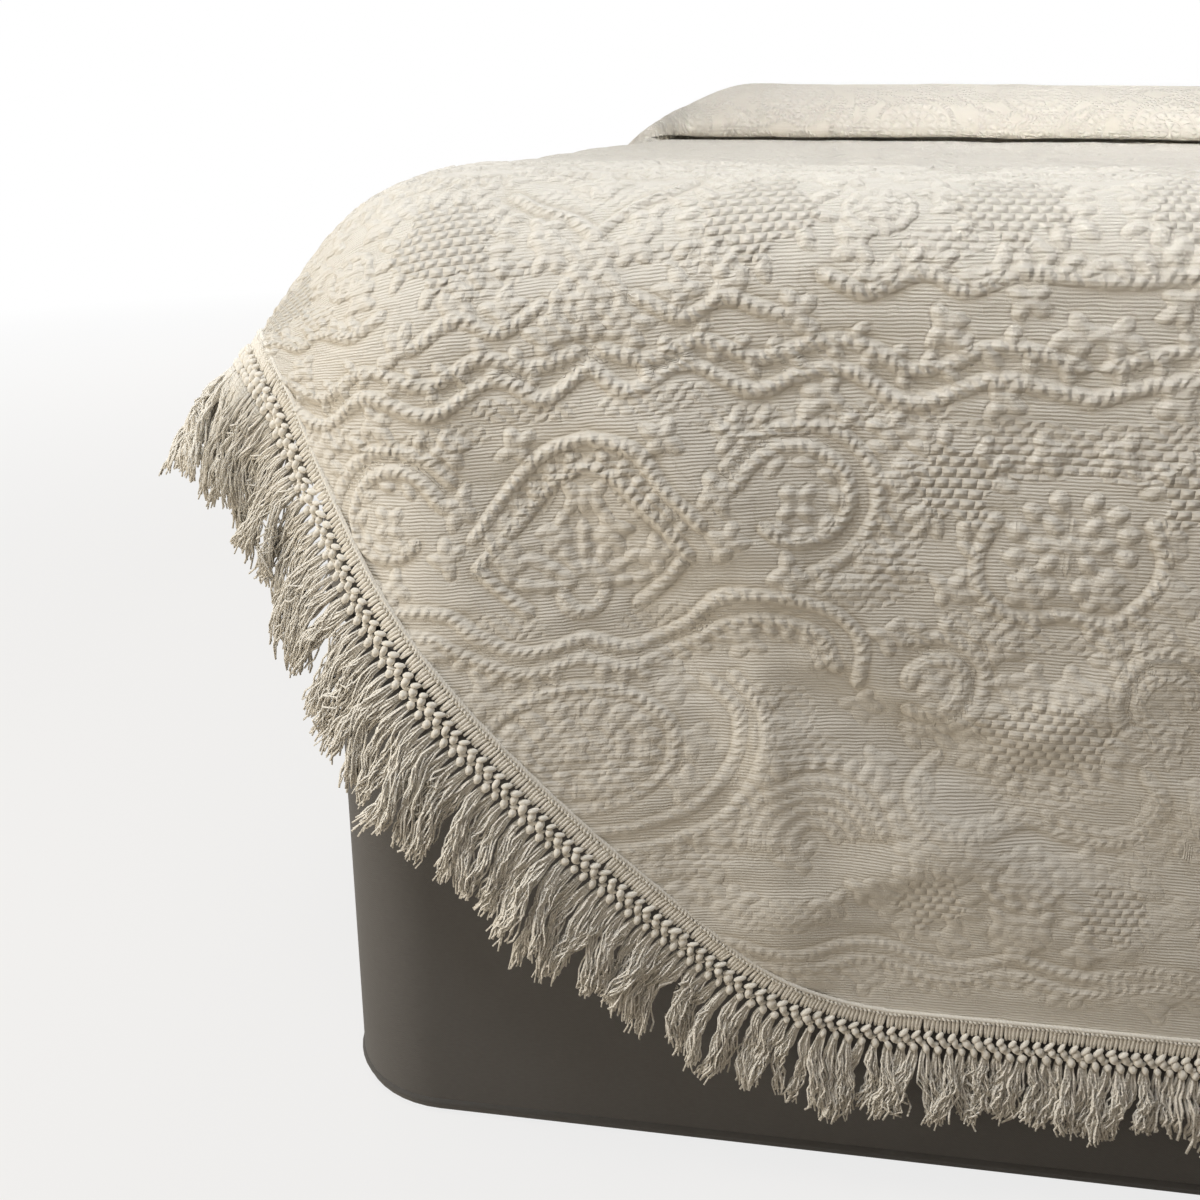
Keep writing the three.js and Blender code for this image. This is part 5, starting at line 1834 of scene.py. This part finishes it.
@dataclass(frozen=True)
class BedBase:
    """The upholstered base, a rounded box, and the piping on it and round the mattress."""

    corner: float = 70 * MM
    corner_cuts: int = 12
    edge: float = 6 * MM
    edge_cuts: int = 3
    cord_radius: float = 3.2 * MM
    sides: int = 8
    under_top: float = 7 * MM
    over_floor: float = 9 * MM
    mattress_corners: Pair = (150 * MM, 78 * MM)
    mattress_inset: Triple = (1.5 * MM, 1.5 * MM, 2.5 * MM)
    mattress_rings: Pair = (24 * MM, 135 * MM)

    def box(self) -> Piece:
        """The covered box, by edit-mode operators."""
        low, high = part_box("bed_base")
        bpy.ops.object.select_all(action="DESELECT")
        bpy.ops.mesh.primitive_cube_add(size=1.0)
        piece = bpy.context.active_object
        piece.name = piece.data.name = "bed_base_box"
        bpy.ops.object.mode_set(mode="EDIT")
        bpy.ops.mesh.select_all(action="SELECT")
        bpy.ops.transform.resize(value=tuple(high - low))
        bpy.ops.transform.translate(value=tuple((high + low) / 2))
        bpy.ops.object.mode_set(mode="OBJECT")
        self.bevel(piece, True, self.corner, self.corner_cuts)
        self.bevel(piece, False, self.edge, self.edge_cuts)
        bpy.ops.object.shade_smooth_by_angle(angle=math.radians(40))
        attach(piece, "root")
        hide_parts("bed_base")
        return dress(piece, BED_FINISH.material())

    @staticmethod
    def bevel(piece: Piece, upright: bool, offset: float, cuts: int) -> None:
        """Rounds the upright edges, or the ones round the top and bottom."""
        mesh = piece.data
        heights = [v.co.z for v in mesh.vertices]
        top, bottom = max(heights) - 1e-4, min(heights) + 1e-4
        for part in (*mesh.polygons, *mesh.edges, *mesh.vertices):
            part.select = False
        for edge in mesh.edges:
            ends = [mesh.vertices[i] for i in edge.vertices]
            z = [end.co.z for end in ends]
            if abs(z[0] - z[1]) > 0.05 if upright else min(z) > top or max(z) < bottom:
                for part in (edge, *ends):
                    part.select = True
        bpy.context.tool_settings.mesh_select_mode = (False, True, False)
        bpy.ops.object.mode_set(mode="EDIT")
        bpy.ops.mesh.bevel(offset=offset, offset_type="OFFSET", segments=cuts, affect="EDGES")
        bpy.ops.object.mode_set(mode="OBJECT")

    def cords(self) -> Piece:
        """Piping round the base's top and bottom, round the mattress's wall, and up the middle joint."""
        stock = Stock()
        low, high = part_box("bed_base")
        base = Outline(high.x, low.y, high.y, self.corner, self.corner)
        soft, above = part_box("mattress")
        side, foot, head = self.mattress_inset
        mattress = Outline(above.x - side, soft.y + foot, above.y - head, *self.mattress_corners)
        inner = self.cord_radius * 0.45
        top, bottom = high.z - self.under_top, low.z + self.over_floor
        rings = [(base, top), (base, bottom)] + [(mattress, soft.z + z) for z in self.mattress_rings]
        for outline, height in rings:
            self.ring(stock, outline.points(height, -inner))
        middle = (low.y + high.y) / 2
        for x in (low.x + inner, high.x - inner):
            line = np.stack([np.full(12, x), np.full(12, middle), np.linspace(bottom, top, 12)], -1)
            radii = np.full((1, 12), self.cord_radius * 0.8)
            add_tubes(stock, line[None], radii, np.array([[0.0, 1.0, 0.0]]), self.sides)
        return dress(stock.piece("bed_piping", Slot.BED), PIPING_FINISH.material())

    def ring(self, stock: Stock, loop: Array) -> None:
        """A closed level cord through a loop of points."""
        up = np.array([0.0, 0.0, 1.0])
        aside = unit(np.cross(unit(np.roll(loop, -1, axis=0) - np.roll(loop, 1, axis=0)), up))
        turn = 2 * math.pi * np.arange(self.sides) / self.sides
        ring = aside[:, None] * np.cos(turn)[None, :, None] + up * np.sin(turn)[None, :, None]
        points = loop[:, None] + self.cord_radius * ring
        coords = np.stack(np.broadcast_arrays(turn / (2 * math.pi), reach_along(loop)[:, None]), -1)
        quads = grid_faces(len(loop) + 1, self.sides, around=True) % (len(loop) * self.sides)
        stock.add(points, coords, quads)


# ---- The stage, light and camera ----
@dataclass(frozen=True)
class Lamp:
    """A square area lamp that points at a target, with its beam in degrees."""

    name: str
    place: Triple
    target: Triple
    size: float
    power: float
    colour: Triple
    beam: float = 180.0

    def add(self) -> None:
        """Puts the lamp in the scene."""
        light = bpy.data.lights.new(self.name, "AREA")
        light.size, light.energy, light.color = self.size, self.power, self.colour
        light.spread = math.radians(self.beam)
        lamp = put_in_scene(self.name, light)
        lamp.location = self.place
        lamp.visible_camera = False
        aim = Vector(self.target) - Vector(self.place)
        lamp.rotation_euler = aim.to_track_quat("-Z", "Y").to_euler()


WARM_SIDE = (1.0, 0.98, 0.95)
LAMPS = (
    Lamp("corner_key", (-0.90, -1.29, 1.66), (-0.55, -0.9, 0.45), 0.5, 10, (0.965, 0.985, 1.0)),
    Lamp("foot_key", (-0.24, -1.36, 0.98), (-0.2, -0.95, 0.52), 0.3, 0.8, (1.0, 0.995, 0.98)),
    Lamp("ceiling", (0.0, 0.15, 2.1), (0.0, 0.3, 0.6), 1.5, 15, (0.95, 0.975, 1.0)),
    Lamp("left_fill", (-1.95, -1.42, 0.38), (-0.65, -0.95, 0.3), 0.9, 14, (1.0, 0.925, 0.80)),
    Lamp("pillow_front", (0.0, -2.7, 1.5), (0.0, 0.58, 0.66), 0.5, 1.5, (1.0, 0.985, 0.95), beam=26.0),
    Lamp("right_side", (2.3, 1.9, 1.4), (0.7, 0.2, 0.4), 1.2, 26, WARM_SIDE),
    Lamp("left_side", (-2.3, 1.9, 1.4), (-0.7, 0.2, 0.4), 1.2, 20, WARM_SIDE),
    Lamp("head_side", (0.0, 3.4, 1.3), (0.0, 0.9, 0.5), 1.2, 16, WARM_SIDE),
)


@dataclass(frozen=True)
class Studio:
    """Pale floor, soft lamps and the camera at the foot of the bed.

    The floor fades to white over the two distances of shadow_reach. The camera's place is given from the
    middle of the foot face, its turns in degrees: to the left, down, and round its own axis.
    """

    foot_face: float
    floor_size: float = 60.0
    floor_colour: Triple = (0.48, 0.425, 0.35)
    floor_white: Pair = (0.80, 1.0)
    shadow_reach: Pair = (1.3, 4.0)
    fill: float = 0.10
    fill_colour: Triple = (1.0, 0.82, 0.63)
    camera_place: Triple = (-0.385, -0.643, 0.627)
    camera_turns: Triple = (8.419, 20.364, 0.385)
    lens: float = 38.99

    def floor(self) -> None:
        """A plain pale floor that shows white to the camera."""
        bpy.ops.object.select_all(action="DESELECT")
        bpy.ops.mesh.primitive_plane_add(size=self.floor_size)
        floor = bpy.context.active_object
        floor.name = "floor"
        g = Graph("pale_floor")
        g.shader.inputs["Base Color"].default_value = (*self.floor_colour, 1.0)
        g.dull(0.8, 0.1)
        away = g.node("VectorMath")
        away.operation = "LENGTH"
        g.put(away.inputs[0], g.place())
        both = g.node("MixShader")
        white = g.ramp(away.outputs["Value"], *self.shadow_reach, *self.floor_white)
        g.put(both.inputs[0], g.times(g.seen(), white))
        g.put(both.inputs[1], g.shader.outputs[0])
        g.put(both.inputs[2], g.node("Emission").outputs[0])
        g.put(g.surface, both.outputs[0])
        dress(floor, g.material)

    def world(self) -> None:
        """White behind the object, and a plain dim fill everywhere else."""
        world = bpy.data.worlds.new("studio")
        bpy.context.scene.world = world
        world.use_nodes = True
        nodes = Nodes(world.node_tree)
        background = world.node_tree.nodes["Background"]
        seen = nodes.seen()
        nodes.put(background.inputs["Strength"], nodes.ramp(seen, 0.0, 1.0, self.fill, 1.0))
        nodes.put(background.inputs["Color"], nodes.blend(seen, self.fill_colour, (1.0, 1.0, 1.0)))

    def camera(self) -> None:
        """Looks over the foot-left corner of the bed."""
        data = bpy.data.cameras.new("camera")
        data.sensor_width, data.lens = 36.0, self.lens
        data.clip_start = 0.02
        camera = put_in_scene("camera", data)
        left, down, roll = self.camera_turns
        turn = Matrix.Identity(4)
        for degrees, axis in ((left, "Z"), (90 - down, "X"), (roll, "Z")):
            turn = turn @ Matrix.Rotation(math.radians(degrees), 4, axis)
        place = Vector(self.camera_place) + Vector((0.0, self.foot_face, 0.0))
        camera.matrix_world = Matrix.Translation(place) @ turn
        bpy.context.scene.camera = camera

    def build(self) -> None:
        """Sets the stage."""
        self.floor()
        self.world()
        for lamp in LAMPS:
            lamp.add()
        self.camera()
        bpy.context.scene.view_settings.view_transform = "Standard"


def main() -> None:
    """Builds the bedspread, its fringe and the stage in order."""
    logging.basicConfig(level=logging.INFO, format="%(name)s: %(message)s")
    low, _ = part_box("mattress")
    foot_face = low.y - FOOT_GAP
    drape = Drape(foot_y=foot_face + FOOT_FACE)
    cut = Cut(drape)
    spread = Bedspread(drape, cut)
    cloth = spread.build()
    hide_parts("bedspread")
    rows = Fringe(HemLine(drape, cut)).build()
    for row, node in zip(rows, ("fringe_heading", "fringe_netting", "fringe_tassels", "fringe_tassels")):
        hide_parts(node)
    hem = spread.head_hem()
    Bedding("mattress", Slot.BED, 19 * MM, 0.9, MATTRESS_FINISH).build()
    Bedding("pillow", Slot.PILLOW, 14 * MM, 0.7, PILLOW_FINISH).build()
    base = BedBase()
    base.box()
    base.cords()
    width, length, area = spread.flat_size()
    LOG.info("cut size %.3f by %.3f m, %.3f square metres", width, length, area)
    Studio(foot_face).build()


if __name__ == "__main__":
    main()
